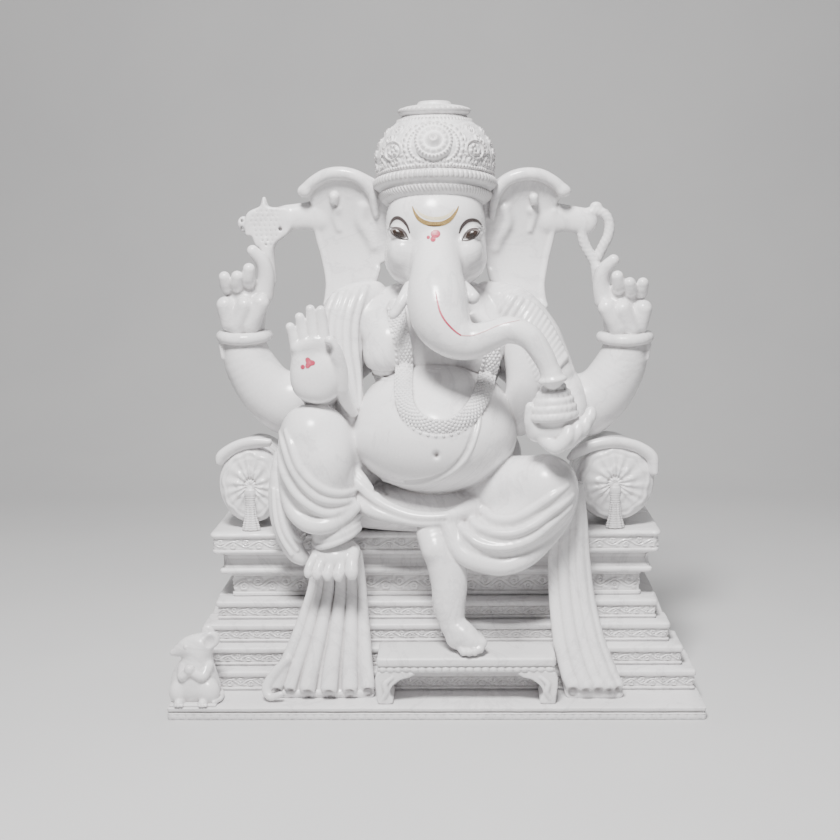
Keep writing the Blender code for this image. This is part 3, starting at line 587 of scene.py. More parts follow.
# ------------------------------------------------------------------ figure: body and cloth
def make_body():
    """Chest, belly, garland, sacred thread, lap cloth and shoulder cloths."""
    chest = Member("chest", 0.0015)
    chest.add(Ball((0.003, 0.022, 0.352), (0.07, 0.046, 0.078)))
    chest.add(Limb([(-0.07, 0.012, 0.384), (-0.03, 0.012, 0.393), (0.036, 0.012, 0.393),
                    (0.074, 0.012, 0.384)], [0.026, 0.025, 0.025, 0.026]), 0.02)
    chest.add(Ball((-0.043, -0.013, 0.36), (0.0245, 0.026, 0.03)), 0.01)
    chest.add(Ball((0.049, -0.013, 0.36), (0.0245, 0.026, 0.03)), 0.01)
    chest.add(Ball((-0.05, -0.012, 0.35), (0.019, 0.026, 0.02)), 0.008)
    belly = Member("belly", 0.0012)
    belly.add(Ball((0.002, -0.02, 0.27), (0.0835, 0.0765, 0.059)))
    belly.add(Ball((0.002, -0.01, 0.3), (0.072, 0.06, 0.042)), 0.014)
    belly.add(Ball((0.002, 0.025, 0.24), (0.09, 0.05, 0.055)), 0.01)
    belly.cut(Ball((0.005, -0.0985, 0.262), (0.003, 0.008, 0.0036)), 0.004)
    belly.cut(Ball((0.005, -0.096, 0.2608), (0.0016, 0.006, 0.0018)), 0.0015)
    chest_crease = [(-0.07, 0.338), (-0.055, 0.3345), (-0.036, 0.3345)]
    ridge(chest, chest_crease, 0.0022, 0.0, 0.002, cut=True)
    hem = [(-0.068, 0.329), (-0.053, 0.3275), (-0.037, 0.329)]
    ridge(chest, hem, 0.002, 0.0006, 0.001, on=[chest, belly])

    garland = Member("garland", 0.0006, "carved_marble")
    strap = [(-0.036, 0.4), (-0.033, 0.383), (-0.029, 0.366), (-0.0275, 0.348),
             (-0.0275, 0.33), (-0.026, 0.312), (-0.019, 0.299), (-0.006, 0.2905),
             (0.011, 0.288), (0.027, 0.292), (0.04, 0.302), (0.05, 0.316),
             (0.056, 0.332), (0.06, 0.35), (0.058, 0.37)]
    path = front_of([chest, belly], eased(strap, 6), 0.0005)
    for _ in range(3):
        path[:, 1] = np.convolve(np.pad(path[:, 1], 1, mode="edge"), [0.25, 0.5, 0.25], "valid")
    garland.add(Limb(path, 0.0088, 1, ((0.0, 1.0, 0.25), 2.6)))
    for shift in (-0.0078, 0.0078):
        run = np.gradient(path, axis=0)
        sideways = np.stack([-run[:, 2], 0 * run[:, 1], run[:, 0]], 1)
        sideways /= np.linalg.norm(sideways, axis=1)[:, None]
        edge = path + shift * sideways
        edge[:, 1] = front_of([chest, belly, garland], edge[:, [0, 2]], 0.0004)[:, 1]
        garland.add(Limb(edge, 0.0012, 1), 0.0006)
    thread = Member("sacred_thread", 0.0006)
    line = [(0.05, 0.318), (0.0475, 0.3078), (0.0454, 0.2854), (0.0326, 0.2562),
            (0.0082, 0.2366), (-0.0249, 0.228), (-0.05, 0.229)]
    ridge(thread, line, 0.0019, 0.0004, 0.001, on=[belly], steps=8)
    ridge(belly, [(x - 0.003, z + 0.003) for x, z in line[1:-1]], 0.0012, 0.0, 0.003, cut=True,
          steps=8)

    lap = Member("lap_cloth", 0.004)
    lap.add(Ball((0.006, 0.002, 0.193), (0.15, 0.062, 0.027)))
    lap.add(Limb([(-0.098, -0.02, 0.246), (-0.078, -0.044, 0.231), (-0.0568, -0.057, 0.209),
                  (-0.03, -0.064, 0.1975), (-0.005, -0.067, 0.1935), (0.017, -0.066, 0.195),
                  (0.04, -0.052, 0.203), (0.056, -0.032, 0.208)],
                 [0.009, 0.009, 0.0072, 0.006, 0.0056, 0.0056, 0.006, 0.006], 5), 0.009)
    lap.add(Limb([(-0.086, -0.038, 0.214), (-0.064, -0.055, 0.2), (-0.0392, -0.063, 0.1935),
                  (-0.01, -0.067, 0.1895), (0.02, -0.063, 0.1898)],
                 [0.0085, 0.0075, 0.0062, 0.0054, 0.0054], 5), 0.006)
    for spots in ([(-0.082, 0.223), (-0.058, 0.205), (-0.02, 0.1925), (0.012, 0.192)],
                  [(-0.084, 0.242), (-0.07, 0.229), (-0.048, 0.212)]):
        ridge(lap, spots, 0.001, 0.0, 0.004, cut=True)

    right = Member("shawl_right", 0.0015)
    right.add(Limb([(-0.06, 0.012, 0.411), (-0.086, 0.004, 0.398), (-0.0935, -0.004, 0.37),
                    (-0.09, -0.012, 0.333), (-0.086, -0.016, 0.3), (-0.08, -0.016, 0.276)],
                   [0.014, 0.022, 0.0225, 0.019, 0.016, 0.014], 5))
    for i in range(5):
        x = -0.1085 + i * 0.0078
        spots = [(-0.1 + i * 0.0085, 0.411 + 0.0022 * i), (x + 0.001, 0.388), (x, 0.36),
                 (x + 0.003 + 0.0012 * (4 - i), 0.33), (-0.0905 + i * 0.004, 0.3)]
        ridge(right, spots, [0.0024, 0.0036, 0.0034, 0.003, 0.0024], 0.0005, 0.003)
    left = Member("shawl_left", 0.0015)
    left.add(Limb([(0.056, 0.012, 0.409), (0.083, 0.006, 0.395), (0.104, 0.002, 0.37),
                   (0.115, -0.002, 0.348), (0.124, -0.006, 0.328)],
                  [0.014, 0.023, 0.0245, 0.0235, 0.0215], 5))
    left.add(Limb([(0.088, -0.004, 0.37), (0.093, -0.01, 0.335), (0.09, -0.014, 0.305),
                   (0.088, -0.012, 0.28)], [0.02, 0.0185, 0.016, 0.014]), 0.01)
    outer = eased([(0.076, 0.406), (0.0951, 0.3988), (0.1083, 0.3885), (0.1185, 0.3731),
                   (0.1266, 0.3576), (0.1328, 0.3442)], 3)
    inner = eased([(0.064, 0.386), (0.0798, 0.3735), (0.092, 0.36), (0.0985, 0.345),
                   (0.104, 0.33), (0.108, 0.318)], 3)
    for (x0, z0), (x1, z1) in zip(outer, inner):
        ridge(left, [(x0 + 0.002, z0 + 0.003), (x0 * 0.5 + x1 * 0.5, z0 * 0.5 + z1 * 0.5 + 0.001),
                     (x1, z1)], [0.003, 0.0028, 0.001], 0.0002, 0.0022)
    return chest, belly, garland, thread, lap, [right, left]


# ------------------------------------------------------------------ figure: legs
def make_right_leg():
    """The raised right leg with its folds, gathered cuff, foot and hanging pleat."""
    leg = Member("right_leg", 0.0035)
    leg.add(Limb([(-0.1195, -0.05, 0.274), (-0.119, -0.05, 0.248), (-0.113, -0.051, 0.218),
                  (-0.102, -0.053, 0.195)], [0.033, 0.0362, 0.0345, 0.026], 5))
    leg.add(Limb([(-0.114, -0.042, 0.266), (-0.078, 0.02, 0.22)], [0.033, 0.036]), 0.012)
    leg.add(Ball((-0.106, -0.062, 0.25), (0.024, 0.026, 0.032)), 0.01)
    folds = [[(-0.144, 0.283), (-0.1372, 0.27), (-0.129, 0.25), (-0.1134, 0.2322),
              (-0.096, 0.2222), (-0.078, 0.219)],
             [(-0.151, 0.28), (-0.1435, 0.264), (-0.135, 0.245), (-0.1196, 0.225),
              (-0.103, 0.215), (-0.079, 0.211)],
             [(-0.153, 0.262), (-0.147, 0.243), (-0.134, 0.222), (-0.1154, 0.2072),
              (-0.1008, 0.202), (-0.079, 0.206)]]
    for spots in folds:
        ridge(leg, spots, [0.0014, 0.004, 0.0044, 0.0044, 0.004, 0.0026], 0.0004, 0.003)
    leg.add(Limb([(-0.153, -0.046, 0.242), (-0.146, -0.06, 0.218), (-0.137, -0.07, 0.2),
                  (-0.122, -0.077, 0.1905), (-0.106, -0.079, 0.1895), (-0.09, -0.073, 0.195),
                  (-0.078, -0.064, 0.204)],
                 [0.004, 0.007, 0.0082, 0.009, 0.0088, 0.0078, 0.0064], 5), 0.003)
    cuff = Member("right_anklet", 0.0008)
    cuff.add(Ball((-0.098, -0.057, 0.179), (0.0245, 0.0235, 0.014), (0, -12, 0)))
    for drop, out, size in ((0.0, 0.0, 0.003), (0.0062, -0.0012, 0.0024), (0.0125, -0.003, 0.0026)):
        cuff.add(Limb([(-0.1205, -0.056 - out, 0.166 + drop), (-0.114, -0.072 - out, 0.166 + drop),
                       (-0.103, -0.0795 - out, 0.169 + drop), (-0.09, -0.079 - out, 0.174 + drop),
                       (-0.0795, -0.07 - out, 0.1785 + drop), (-0.0745, -0.056 - out, 0.181 + drop)],
                      size, 5), 0.003)
    foot = Member("right_foot", 0.0008)
    foot.add(Ball((-0.0985, -0.06, 0.156), (0.0255, 0.0215, 0.015), (18, 0, 0)))
    tips = [(-0.124, 0.1395, 0.0043), (-0.115, 0.1375, 0.0046), (-0.1045, 0.1365, 0.0048),
            (-0.0937, 0.1362, 0.0052), (-0.0806, 0.1395, 0.0066)]
    for i, (x, z, r) in enumerate(tips):
        root_x = -0.117 + i * 0.0092
        foot.add(Limb([(root_x, -0.068, 0.158), (x * 0.7 + root_x * 0.3, -0.0785, z + 0.011),
                       (x, -0.0825, z + 0.0045)], [r, r * 0.95, r], 4), 0.0022)
        foot.add(Ball((x, -0.0835, z + 0.0022), (r * 0.95, r * 0.95, r * 1.05)), 0.0015)
    fold = Member("dhoti_fold", 0.0015)
    fold.add(Limb([(-0.157, -0.034, 0.252), (-0.158, -0.04, 0.225), (-0.156, -0.045, 0.198),
                   (-0.149, -0.05, 0.174), (-0.14, -0.053, 0.156), (-0.1335, -0.054, 0.15)],
                  [0.005, 0.0085, 0.011, 0.0115, 0.01, 0.008], 5))
    for spots in ([(-0.161, 0.22), (-0.159, 0.196), (-0.154, 0.176), (-0.143, 0.156)],
                  [(-0.156, 0.218), (-0.153, 0.196), (-0.148, 0.178), (-0.137, 0.16)],
                  [(-0.151, 0.208), (-0.148, 0.192), (-0.142, 0.176), (-0.133, 0.166)]):
        ridge(fold, spots, [0.0018, 0.0026, 0.0028, 0.0024], 0.0002, 0.0015)
    return [leg, cuff, foot, fold]


def make_left_leg():
    """The folded left thigh, and the shin and foot that rest on the stool."""
    thigh = Member("left_thigh", 0.0045)
    thigh.add(Limb([(0.046, -0.004, 0.204), (0.08, -0.036, 0.214), (0.108, -0.056, 0.223)],
                   [0.036, 0.035, 0.03], 5))
    thigh.add(Ball((0.115, -0.06, 0.224), (0.0285, 0.03, 0.029)), 0.008)
    thigh.add(Limb([(0.114, -0.06, 0.208), (0.086, -0.064, 0.183), (0.056, -0.065, 0.171),
                    (0.024, -0.062, 0.166)], [0.0285, 0.029, 0.0245, 0.017], 5), 0.01)
    folds = [[(0.033, 0.211), (0.0399, 0.2042), (0.0564, 0.196), (0.0758, 0.196),
              (0.0953, 0.205), (0.115, 0.219), (0.132, 0.229)],
             [(0.025, 0.202), (0.032, 0.1942), (0.0514, 0.185), (0.0758, 0.1835),
              (0.097, 0.191), (0.119, 0.206), (0.137, 0.218)],
             [(0.022, 0.193), (0.029, 0.1837), (0.0465, 0.172), (0.0709, 0.1695),
              (0.0953, 0.177), (0.1177, 0.1931), (0.136, 0.207)]]
    for spots in folds:
        ridge(thigh, spots, [0.0014, 0.0034, 0.0042, 0.0044, 0.0044, 0.0038, 0.0014], 0.0004, 0.003)
    thigh.add(Limb([(0.016, -0.066, 0.181), (0.024, -0.074, 0.165), (0.038, -0.08, 0.1545),
                    (0.0661, -0.081, 0.148), (0.0907, -0.078, 0.1545), (0.111, -0.07, 0.17),
                    (0.13, -0.06, 0.189), (0.138, -0.052, 0.208)],
                   [0.0095, 0.0098, 0.01, 0.01, 0.0096, 0.009, 0.0075, 0.005], 5), 0.003)
    shin = Member("left_shin", 0.0015)
    shin.add(Limb([(0.003, -0.056, 0.178), (0.011, -0.064, 0.154), (0.0155, -0.07, 0.128),
                   (0.0152, -0.076, 0.108), (0.018, -0.08, 0.089)],
                  [0.0165, 0.0195, 0.0182, 0.0162, 0.0122], 5))
    shin.add(Limb([(-0.006, -0.062, 0.176), (0.001, -0.07, 0.162)], [0.011, 0.013]), 0.006)
    foot = Member("left_foot", 0.003)
    foot.add(Limb([(0.0195, -0.08, 0.086), (0.029, -0.087, 0.08), (0.0395, -0.092, 0.0735)],
                  [0.0122, 0.0128, 0.0098], 5))
    foot.add(Ball((0.0255, -0.083, 0.074), (0.0135, 0.012, 0.011)), 0.006)
    for x, y, z, r in ((0.047, -0.0945, 0.0735, 0.0058), (0.045, -0.0995, 0.069, 0.0043),
                       (0.04, -0.102, 0.0672, 0.0041), (0.0345, -0.1025, 0.0665, 0.0039),
                       (0.029, -0.101, 0.0662, 0.0037)):
        foot.add(Limb([(x - 0.004, y + 0.009, z + 0.003), (x, y, z)], [r, r]), 0.0018)
    return [thigh, shin, foot]


def fluted(name, rows, flutes):
    """A hanging cloth of rows (left, right, front y, z), with rounded flutes (at, radius, out)."""
    cloth = Member(name, 0.001)
    hem = rows[-1][1] - rows[-1][0]
    for at in np.linspace(0.05, 0.95, 12):
        points = [(left + (right - left) * at, front + 0.006 + 0.0065 * (right - left) / hem, z)
                  for left, right, front, z in rows]
        points[-1] = (points[-1][0], points[-1][1], HEM_FLOOR)
        radii = [0.0058 * (right - left) / hem for left, right, _, _ in rows]
        cloth.add(Limb(points, radii, 4), 0.003)
    for at, radius, out in flutes:
        points, radii = [], []
        for left, right, front, z in rows:
            grow = ((right - left) / hem) ** 0.8
            points.append((left + (right - left) * at, front + (radius - out) * grow, z))
            radii.append(radius * grow)
        cloth.add(Limb(points, radii, 5), 0.0022)
    left, right, front, z = rows[-1]
    wave = []
    for k, (at, radius, out) in enumerate(flutes):
        x = left + (right - left) * at
        wave.append((x, front + radius * 1.5 - out, HEM_FLOOR + 0.001))
        cloth.cut(Ball((x, front + radius * 0.45 - out, z - radius * 0.95),
                       (radius * 0.74, radius * 1.2, radius * 0.95)), 0.0015)
        if k + 1 < len(flutes):
            between = left + (right - left) * (at + flutes[k + 1][0]) / 2
            wave.append((between, front + 0.0085, HEM_FLOOR + 0.0016))
    cloth.add(Limb(wave, 0.0026, 5), 0.002)
    return cloth


def make_drapes():
    """The two cloth ends that hang over the steps to the plinth."""
    right = fluted("drape_right",
                   [(-0.124, -0.074, -0.05, 0.152), (-0.1265, -0.071, -0.052, 0.12),
                    (-0.134, -0.069, -0.06, 0.095), (-0.143, -0.0665, -0.072, 0.07),
                    (-0.154, -0.064, -0.084, 0.045), (-0.162, -0.0615, -0.092, 0.0255)],
                   [(0.03, 0.0064, -0.001), (0.17, 0.006, 0.0000), (0.345, 0.0082, 0.003),
                    (0.56, 0.0086, 0.0038), (0.765, 0.008, 0.002), (0.945, 0.0072, -0.002)])
    right.add(Limb([(-0.148, -0.08, 0.052), (-0.16, -0.085, 0.04), (-0.1685, -0.089, 0.026),
                    (-0.164, -0.094, 0.018), (-0.153, -0.096, 0.0215)],
                   [0.0036, 0.0046, 0.0048, 0.004, 0.0028], 5), 0.003)
    left = fluted("drape_left",
                  [(0.134, 0.15, -0.044, 0.22), (0.124, 0.1535, -0.047, 0.185),
                   (0.1185, 0.1555, -0.05, 0.148), (0.119, 0.16, -0.056, 0.106),
                   (0.1225, 0.169, -0.072, 0.065), (0.129, 0.18, -0.087, 0.036),
                   (0.133, 0.185, -0.093, 0.027)],
                  [(0.08, 0.0076, 0.0), (0.33, 0.0074, 0.003), (0.57, 0.007, 0.001),
                   (0.78, 0.0068, 0.0028), (0.94, 0.0058, -0.0015)])
    return [right, left]


# ------------------------------------------------------------------ figure: arms and hands
def make_rear(side):
    """A raised back arm with its bangle and hand; the left one is a little lower."""
    name = "right" if side < 0 else "left"

    def at(x, y, z):
        if side < 0:
            return (-x, y, z)
        return (x + 0.0015, y, 0.3625 + (z - 0.3685) * (0.9 if z > 0.3685 else 1.0))

    arm = Member("rear_arm_" + name, 0.0015)
    arm.add(Limb([at(0.2005, 0.04, 0.362), at(0.196, 0.04, 0.338), at(0.178, 0.042, 0.308),
                  at(0.16, 0.046, 0.293)], [0.0215, 0.0262, 0.0295, 0.029], 5))
    arm.add(Limb([at(0.16, 0.046, 0.293), at(0.135, 0.044, 0.302), at(0.118, 0.042, 0.318),
                  at(0.085, 0.04, 0.345)], [0.029, 0.0285, 0.027, 0.026], 5), 0.012)
    arm.add(Block(at(0.2205, 0.036, 0.353), (0.005, 0.008, 0.0095), 0.0025, (0, 8 * side, 0)), 0.002)
    bangle = Member("rear_bangle_" + name, 0.0008)
    centre = np.array(at(0.2, 0.04, 0.3665))
    ring = [centre + (0.024 * math.cos(a), 0.0235 * math.sin(a), 0.001 * math.cos(2 * a))
            for a in np.linspace(0, 2 * math.pi, 25)]
    bangle.add(Limb(ring, 0.0063, 1))
    bangle.add(Ball(centre, (0.022, 0.022, 0.006)), 0.001)

    hand = Member("rear_hand_" + name, 0.001)
    hand.add(Limb([at(0.1985, 0.038, 0.366), at(0.1975, 0.036, 0.386), at(0.196, 0.036, 0.406)],
                  [0.018, 0.021, 0.02], 4, ((0.0, 1.0, 0.0), 1.3)))
    hand.add(Ball(at(0.1955, 0.04, 0.415), (0.0235, 0.015, 0.014)), 0.004)
    for start, end, r in ((at(0.213, 0.027, 0.382), at(0.2165, 0.023, 0.401), 0.0092),
                          (at(0.205, 0.022, 0.379), at(0.195, 0.018, 0.401), 0.0086),
                          (at(0.19, 0.023, 0.38), at(0.1785, 0.02, 0.403), 0.0092)):
        hand.add(Limb([start, end], [r, r]), 0.004)
    hand.cut(Ball(at(0.2065, 0.008, 0.4125), (0.0075, 0.013, 0.0048), (0, 22 * side, 0)), 0.003)
    hand.cut(Ball(at(0.1815, 0.008, 0.424), (0.0046, 0.01, 0.007)), 0.003)
    for low, mid, top, r in ((at(0.2145, 0.036, 0.416), at(0.2145, 0.024, 0.4215),
                              at(0.215, 0.018, 0.4305), 0.0066),
                             (at(0.2035, 0.034, 0.419), at(0.203, 0.021, 0.4225),
                              at(0.2012, 0.015, 0.431), 0.0068),
                             (at(0.1915, 0.034, 0.424), at(0.1905, 0.02, 0.427),
                              at(0.1885, 0.014, 0.4385), 0.007)):
        hand.add(Limb([low, mid, top], [r, r, r * 0.9], 4), 0.0022)
    hand.add(Limb([at(0.1765, 0.034, 0.41), at(0.1735, 0.03, 0.43), at(0.1765, 0.025, 0.446),
                   at(0.185, 0.02, 0.457)], [0.0095, 0.0086, 0.0074, 0.006], 5), 0.004)
    return [arm, bangle, hand]


def make_attributes():
    """The goad's pierced head, the twisted noose and their struts."""
    y = STRUT_DEPTH
    goad = Member("goad_head", 0.001, "carved_marble")
    outline = [(-0.1737, 0.511), (-0.1771, 0.5029), (-0.1889, 0.4975), (-0.1932, 0.4905),
               (-0.1939, 0.4733), (-0.1877, 0.4711), (-0.1838, 0.4617), (-0.1777, 0.4575),
               (-0.171, 0.443), (-0.166, 0.4594), (-0.1595, 0.4665), (-0.1487, 0.4747),
               (-0.144, 0.487), (-0.1489, 0.5), (-0.16, 0.501), (-0.1698, 0.5028)]
    goad.add(Sheet(outline, lambda x, z: y + 0 * x, 0.0075, 0.003))
    goad.add(Limb([(-0.173, y, 0.464), (-0.1715, y, 0.445), (-0.1705, y, 0.425)],
                  [0.0085, 0.007, 0.007]), 0.004)
    goad.add(Limb([(-0.1737, y, 0.502), (-0.1737, y, 0.51)], [0.0042, 0.002]), 0.002)
    goad.add(Ball((-0.1962, y, 0.4845), (0.006, 0.006, 0.008)), 0.002)
    for z in (0.488, 0.4806):
        goad.cut(Limb([(-0.1972, 0.02, z), (-0.1972, 0.052, z)], 0.0017), 0.0008)
    goad.cut(Limb([(-0.157, 0.02, 0.479), (-0.157, 0.052, 0.479)], 0.0022), 0.0008)
    for row, z in enumerate((0.4975, 0.4925, 0.4875, 0.4825, 0.4775, 0.4725, 0.4675, 0.463)):
        count = (5, 7, 7, 6, 6, 5, 3, 2)[row]
        for i in range(count):
            x = -0.1705 + (i - (count - 1) / 2) * 0.0052 + 0.0012 * math.sin(row * 2.1)
            goad.cut(Ball((x, 0.0272, z), (0.0015, 0.0022, 0.0012), (0, 40 * math.sin(3 * row + i), 0)),
                     0.001)

    noose = Member("noose", 0.001, "carved_marble")
    loop = [(0.1716, 0.433), (0.1672, 0.443), (0.1605, 0.454), (0.1562, 0.466),
            (0.156, 0.479), (0.1605, 0.488), (0.17, 0.4925), (0.1795, 0.488),
            (0.1838, 0.479), (0.1828, 0.467), (0.177, 0.455), (0.1722, 0.445)]
    points = eased([(x, y, z) for x, z in loop], 5)
    noose.add(Limb(points, 0.005, 1))
    run = np.gradient(points, axis=0)
    length = run_length(points)
    dense = np.arange(0, length[-1], 0.001)
    mid = np.stack([np.interp(dense, length, points[:, k]) for k in range(3)], 1)
    run = np.stack([np.interp(dense, length, run[:, k]) for k in range(3)], 1)
    run /= np.linalg.norm(run, axis=1)[:, None]
    across = np.stack([-run[:, 2], 0 * run[:, 1], run[:, 0]], 1)
    for strand in range(3):
        angle = dense / 0.015 * 2 * math.pi + strand * 2 * math.pi / 3
        spiral = mid + 0.003 * (np.cos(angle)[:, None] * across
                                 + np.sin(angle)[:, None] * np.array([[0.0, 1.0, 0.0]]))
        noose.add(Limb(spiral[::2], 0.0027, 1), 0.0006)
    noose.add(Limb([(0.1716, y, 0.434), (0.173, y, 0.42)], [0.0062, 0.007]), 0.003)
    noose.add(Ball((0.17, y, 0.4975), (0.006, 0.0045, 0.0042)), 0.002)

    struts = []
    for name, line in (("right", [(-0.118, 0.492), (-0.134, 0.4915), (-0.15, 0.49)]),
                       ("left", [(0.122, 0.486), (0.14, 0.485), (0.158, 0.482)])):
        strut = Member("strut_" + name, 0.002)
        points = [(x, y, z) for x, z in line]
        strut.add(Limb(points, [0.0165, 0.0138, 0.0135], 4, ((0.0, 1.0, 0.0), 1.7)))
        struts.append(strut)
    return [goad, noose, *struts]


def make_front_hands():
    """The blessing hand, and the cupped hand with its heap of sweets."""
    right_arm = Member("front_arm_right", 0.0015)
    right_arm.add(Limb([(-0.08, 0.016, 0.372), (-0.104, 0.004, 0.33), (-0.114, -0.028, 0.318),
                        (-0.1145, -0.05, 0.325)], [0.025, 0.024, 0.02, 0.018], 5))
    right_arm.add(Limb([(-0.08, -0.034, 0.295), (-0.086, -0.05, 0.311),
                        (-0.089, -0.06, 0.326)], [0.005, 0.0065, 0.007], 5), 0.004)
    hand = Member("front_hand_right", 0.001)
    hand.add(Block((-0.1145, -0.0585, 0.348), (0.0222, 0.0105, 0.0245), 0.0104, (0, -3, 0)))
    hand.add(Ball((-0.1125, -0.06, 0.33), (0.02, 0.0125, 0.019)), 0.01)
    hand.add(Ball((-0.112, -0.056, 0.322), (0.0215, 0.015, 0.013)), 0.008)
    hand.add(Ball((-0.104, -0.065, 0.339), (0.015, 0.0085, 0.018)), 0.006)
    hand.add(Ball((-0.127, -0.064, 0.337), (0.0105, 0.0075, 0.02)), 0.006)
    hand.add(Limb([(-0.131, -0.064, 0.365), (-0.121, -0.065, 0.369), (-0.11, -0.065, 0.371),
                   (-0.102, -0.064, 0.37)], [0.0052, 0.0054, 0.0054, 0.005]), 0.006)
    for root, tip in (((-0.131, 0.365), (-0.1366, 0.386)), ((-0.1222, 0.369), (-0.1272, 0.3955)),
                      ((-0.113, 0.371), (-0.1165, 0.403)), ((-0.104, 0.37), (-0.1062, 0.402))):
        (x0, z0), (x1, z1) = root, tip
        hand.add(Limb([(x0, -0.063, z0), (x0 * 0.45 + x1 * 0.55, -0.062, z0 * 0.45 + z1 * 0.55),
                       (x1, -0.064, z1 - 0.0015)], [0.0062, 0.0057, 0.0046], 5), 0.0018)
    hand.add(Limb([(-0.0885, -0.06, 0.324), (-0.088, -0.066, 0.342), (-0.0915, -0.071, 0.36),
                   (-0.0972, -0.0745, 0.3715)], [0.007, 0.0068, 0.0062, 0.0052], 5), 0.003)
    hand.add(Ball((-0.097, -0.06, 0.356), (0.0085, 0.008, 0.011)), 0.004)
    hand.cut(Ball((-0.099, -0.078, 0.361), (0.0046, 0.008, 0.007), (0, 10, 0)), 0.004)
    hand.cut(Limb([(-0.13, -0.074, 0.358), (-0.118, -0.0765, 0.356), (-0.108, -0.077, 0.351)],
                  0.0016), 0.004)

    left_arm = Member("front_arm_left", 0.0015)
    left_arm.add(Limb([(0.09, 0.012, 0.35), (0.126, 0.000, 0.318), (0.136, -0.028, 0.292),
                       (0.13, -0.06, 0.279)], [0.025, 0.024, 0.02, 0.015], 5))
    palm = Member("front_hand_left", 0.001)
    palm.add(Ball((0.121, -0.082, 0.285), (0.029, 0.02, 0.016), (0, -4, 0)))
    palm.add(Limb([(0.101, -0.086, 0.282), (0.0965, -0.09, 0.293), (0.096, -0.091, 0.307)],
                  [0.008, 0.007, 0.0054], 5), 0.005)
    palm.cut(Ball((0.1205, -0.088, 0.306), (0.022, 0.018, 0.013)), 0.003)
    for i, (x, z) in enumerate(((0.153, 0.2965), (0.148, 0.289), (0.14, 0.284),
                                (0.131, 0.281))):
        y = -0.083 - i * 0.005
        palm.add(Limb([(0.118 - i * 0.003, y + 0.006, 0.276), (x - 0.012, y - 0.004, z - 0.011),
                       (x - 0.002, y - 0.005, z - 0.002), (x + 0.0005, y - 0.003, z + 0.0045)],
                      [0.007, 0.007, 0.0066, 0.0056], 5), 0.0022)
    heap = Member("modak_heap", 0.0006, "carved_marble")
    centre = (0.1175, -0.088)
    for z, radius, thick in ((0.299, 0.021, 0.0046), (0.3062, 0.0194, 0.0044),
                             (0.313, 0.0168, 0.0042), (0.3194, 0.0134, 0.004),
                             (0.3252, 0.0094, 0.0038), (0.3302, 0.0052, 0.0034)):
        ring = [(centre[0] + radius * 0.96 * math.cos(a), centre[1] + radius * 0.8 * math.sin(a),
                 z + 0.0016 * math.cos(a)) for a in np.linspace(0, 2 * math.pi, 31)]
        heap.add(Limb(ring, thick, 1), 0.001)
        notches = int(radius * 1100)
        for k in range(notches):
            a = 2 * math.pi * (k + 0.3 * math.sin(z * 900 + k)) / notches
            notch = (centre[0] + (radius * 0.96 + thick) * math.cos(a),
                     centre[1] + (radius * 0.8 + thick) * math.sin(a), z + 0.0004)
            heap.cut(Ball(notch, (0.001, 0.001, 0.003)), 0.001)
    heap.add(Ball((centre[0], centre[1], 0.304), (0.02, 0.017, 0.023)), 0.002)
    heap.add(Ball((centre[0] - 0.002, centre[1], 0.3345), (0.0046, 0.0046, 0.005)), 0.002)
    return [right_arm, hand, left_arm, palm, heap]


# ------------------------------------------------------------------ footstool legs
def make_stool_legs():
    """The footstool's two bracket legs."""
    legs = []
    foot = 0.0128
    for name, outer, side in (("footstool_leg_right", -0.056, 1), ("footstool_leg_left", 0.119, -1)):
        bracket = [(0.0, foot), (0.013, foot), (0.015, foot + 0.004), (0.012, foot + 0.01),
                   (0.0135, foot + 0.017), (0.0185, foot + 0.022), (0.024, foot + 0.0255),
                   (0.032, foot + 0.0275), (0.036, foot + 0.0328), (0.0, foot + 0.0328)]
        outline = [(outer + side * x, z) for x, z in bracket]
        leg = Member(name, 0.0008, "carved_marble")
        leg.add(Sheet(outline, lambda x, z: -0.0835 + 0 * x, 0.018, 0.0012))
        leg.add(Limb([(outer + side * 0.004, -0.1005, foot + 0.004),
                      (outer + side * 0.0085, -0.1015, foot + 0.012),
                      (outer + side * 0.0075, -0.1015, foot + 0.021),
                      (outer + side * 0.015, -0.101, foot + 0.028)],
                     [0.0016, 0.0026, 0.0026, 0.0016]), 0.001)
        legs.append(leg)
    return legs


# ------------------------------------------------------------------ swept and turned meshes, carving
def grid_quads(rows, columns, wrap):
    """Quads between rows of points, the columns joined round when wrap is true."""
    r, c = np.meshgrid(np.arange(rows - 1), np.arange(columns if wrap else columns - 1),
                       indexing="ij")
    nxt = (c + 1) % columns
    quads = np.stack([r * columns + c, r * columns + nxt, (r + 1) * columns + nxt,
                      (r + 1) * columns + c], -1)
    return quads.reshape(-1, 4)


def turned_mesh(profile, count, relief, spacing=0.0008):
    """A turned skin about Z: (radius, z) profile, displaced outward by relief(angle, r, z)."""
    profile = np.array(profile, dtype=float)
    length = run_length(profile)
    dense = np.linspace(0, length[-1], max(int(length[-1] / spacing), 8))
    radius, z = [np.interp(dense, length, profile[:, k]) for k in range(2)]
    out_r, out_z = np.gradient(z), -np.gradient(radius)
    size = np.hypot(out_r, out_z) + 1e-12
    angle = np.linspace(0, 2 * math.pi, count, endpoint=False)
    a, rr = np.meshgrid(angle, radius)
    zz = np.repeat(z[:, None], count, 1)
    lift = relief(a, rr, zz) * np.clip(rr / 0.004, 0, 1)
    rr = rr + lift * (out_r / size)[:, None]
    zz = zz + lift * (out_z / size)[:, None]
    points = np.stack([rr * np.sin(a), -rr * np.cos(a), zz], -1).reshape(-1, 3)
    quads = grid_quads(len(dense), count, True)[:, ::-1]
    return points, quads


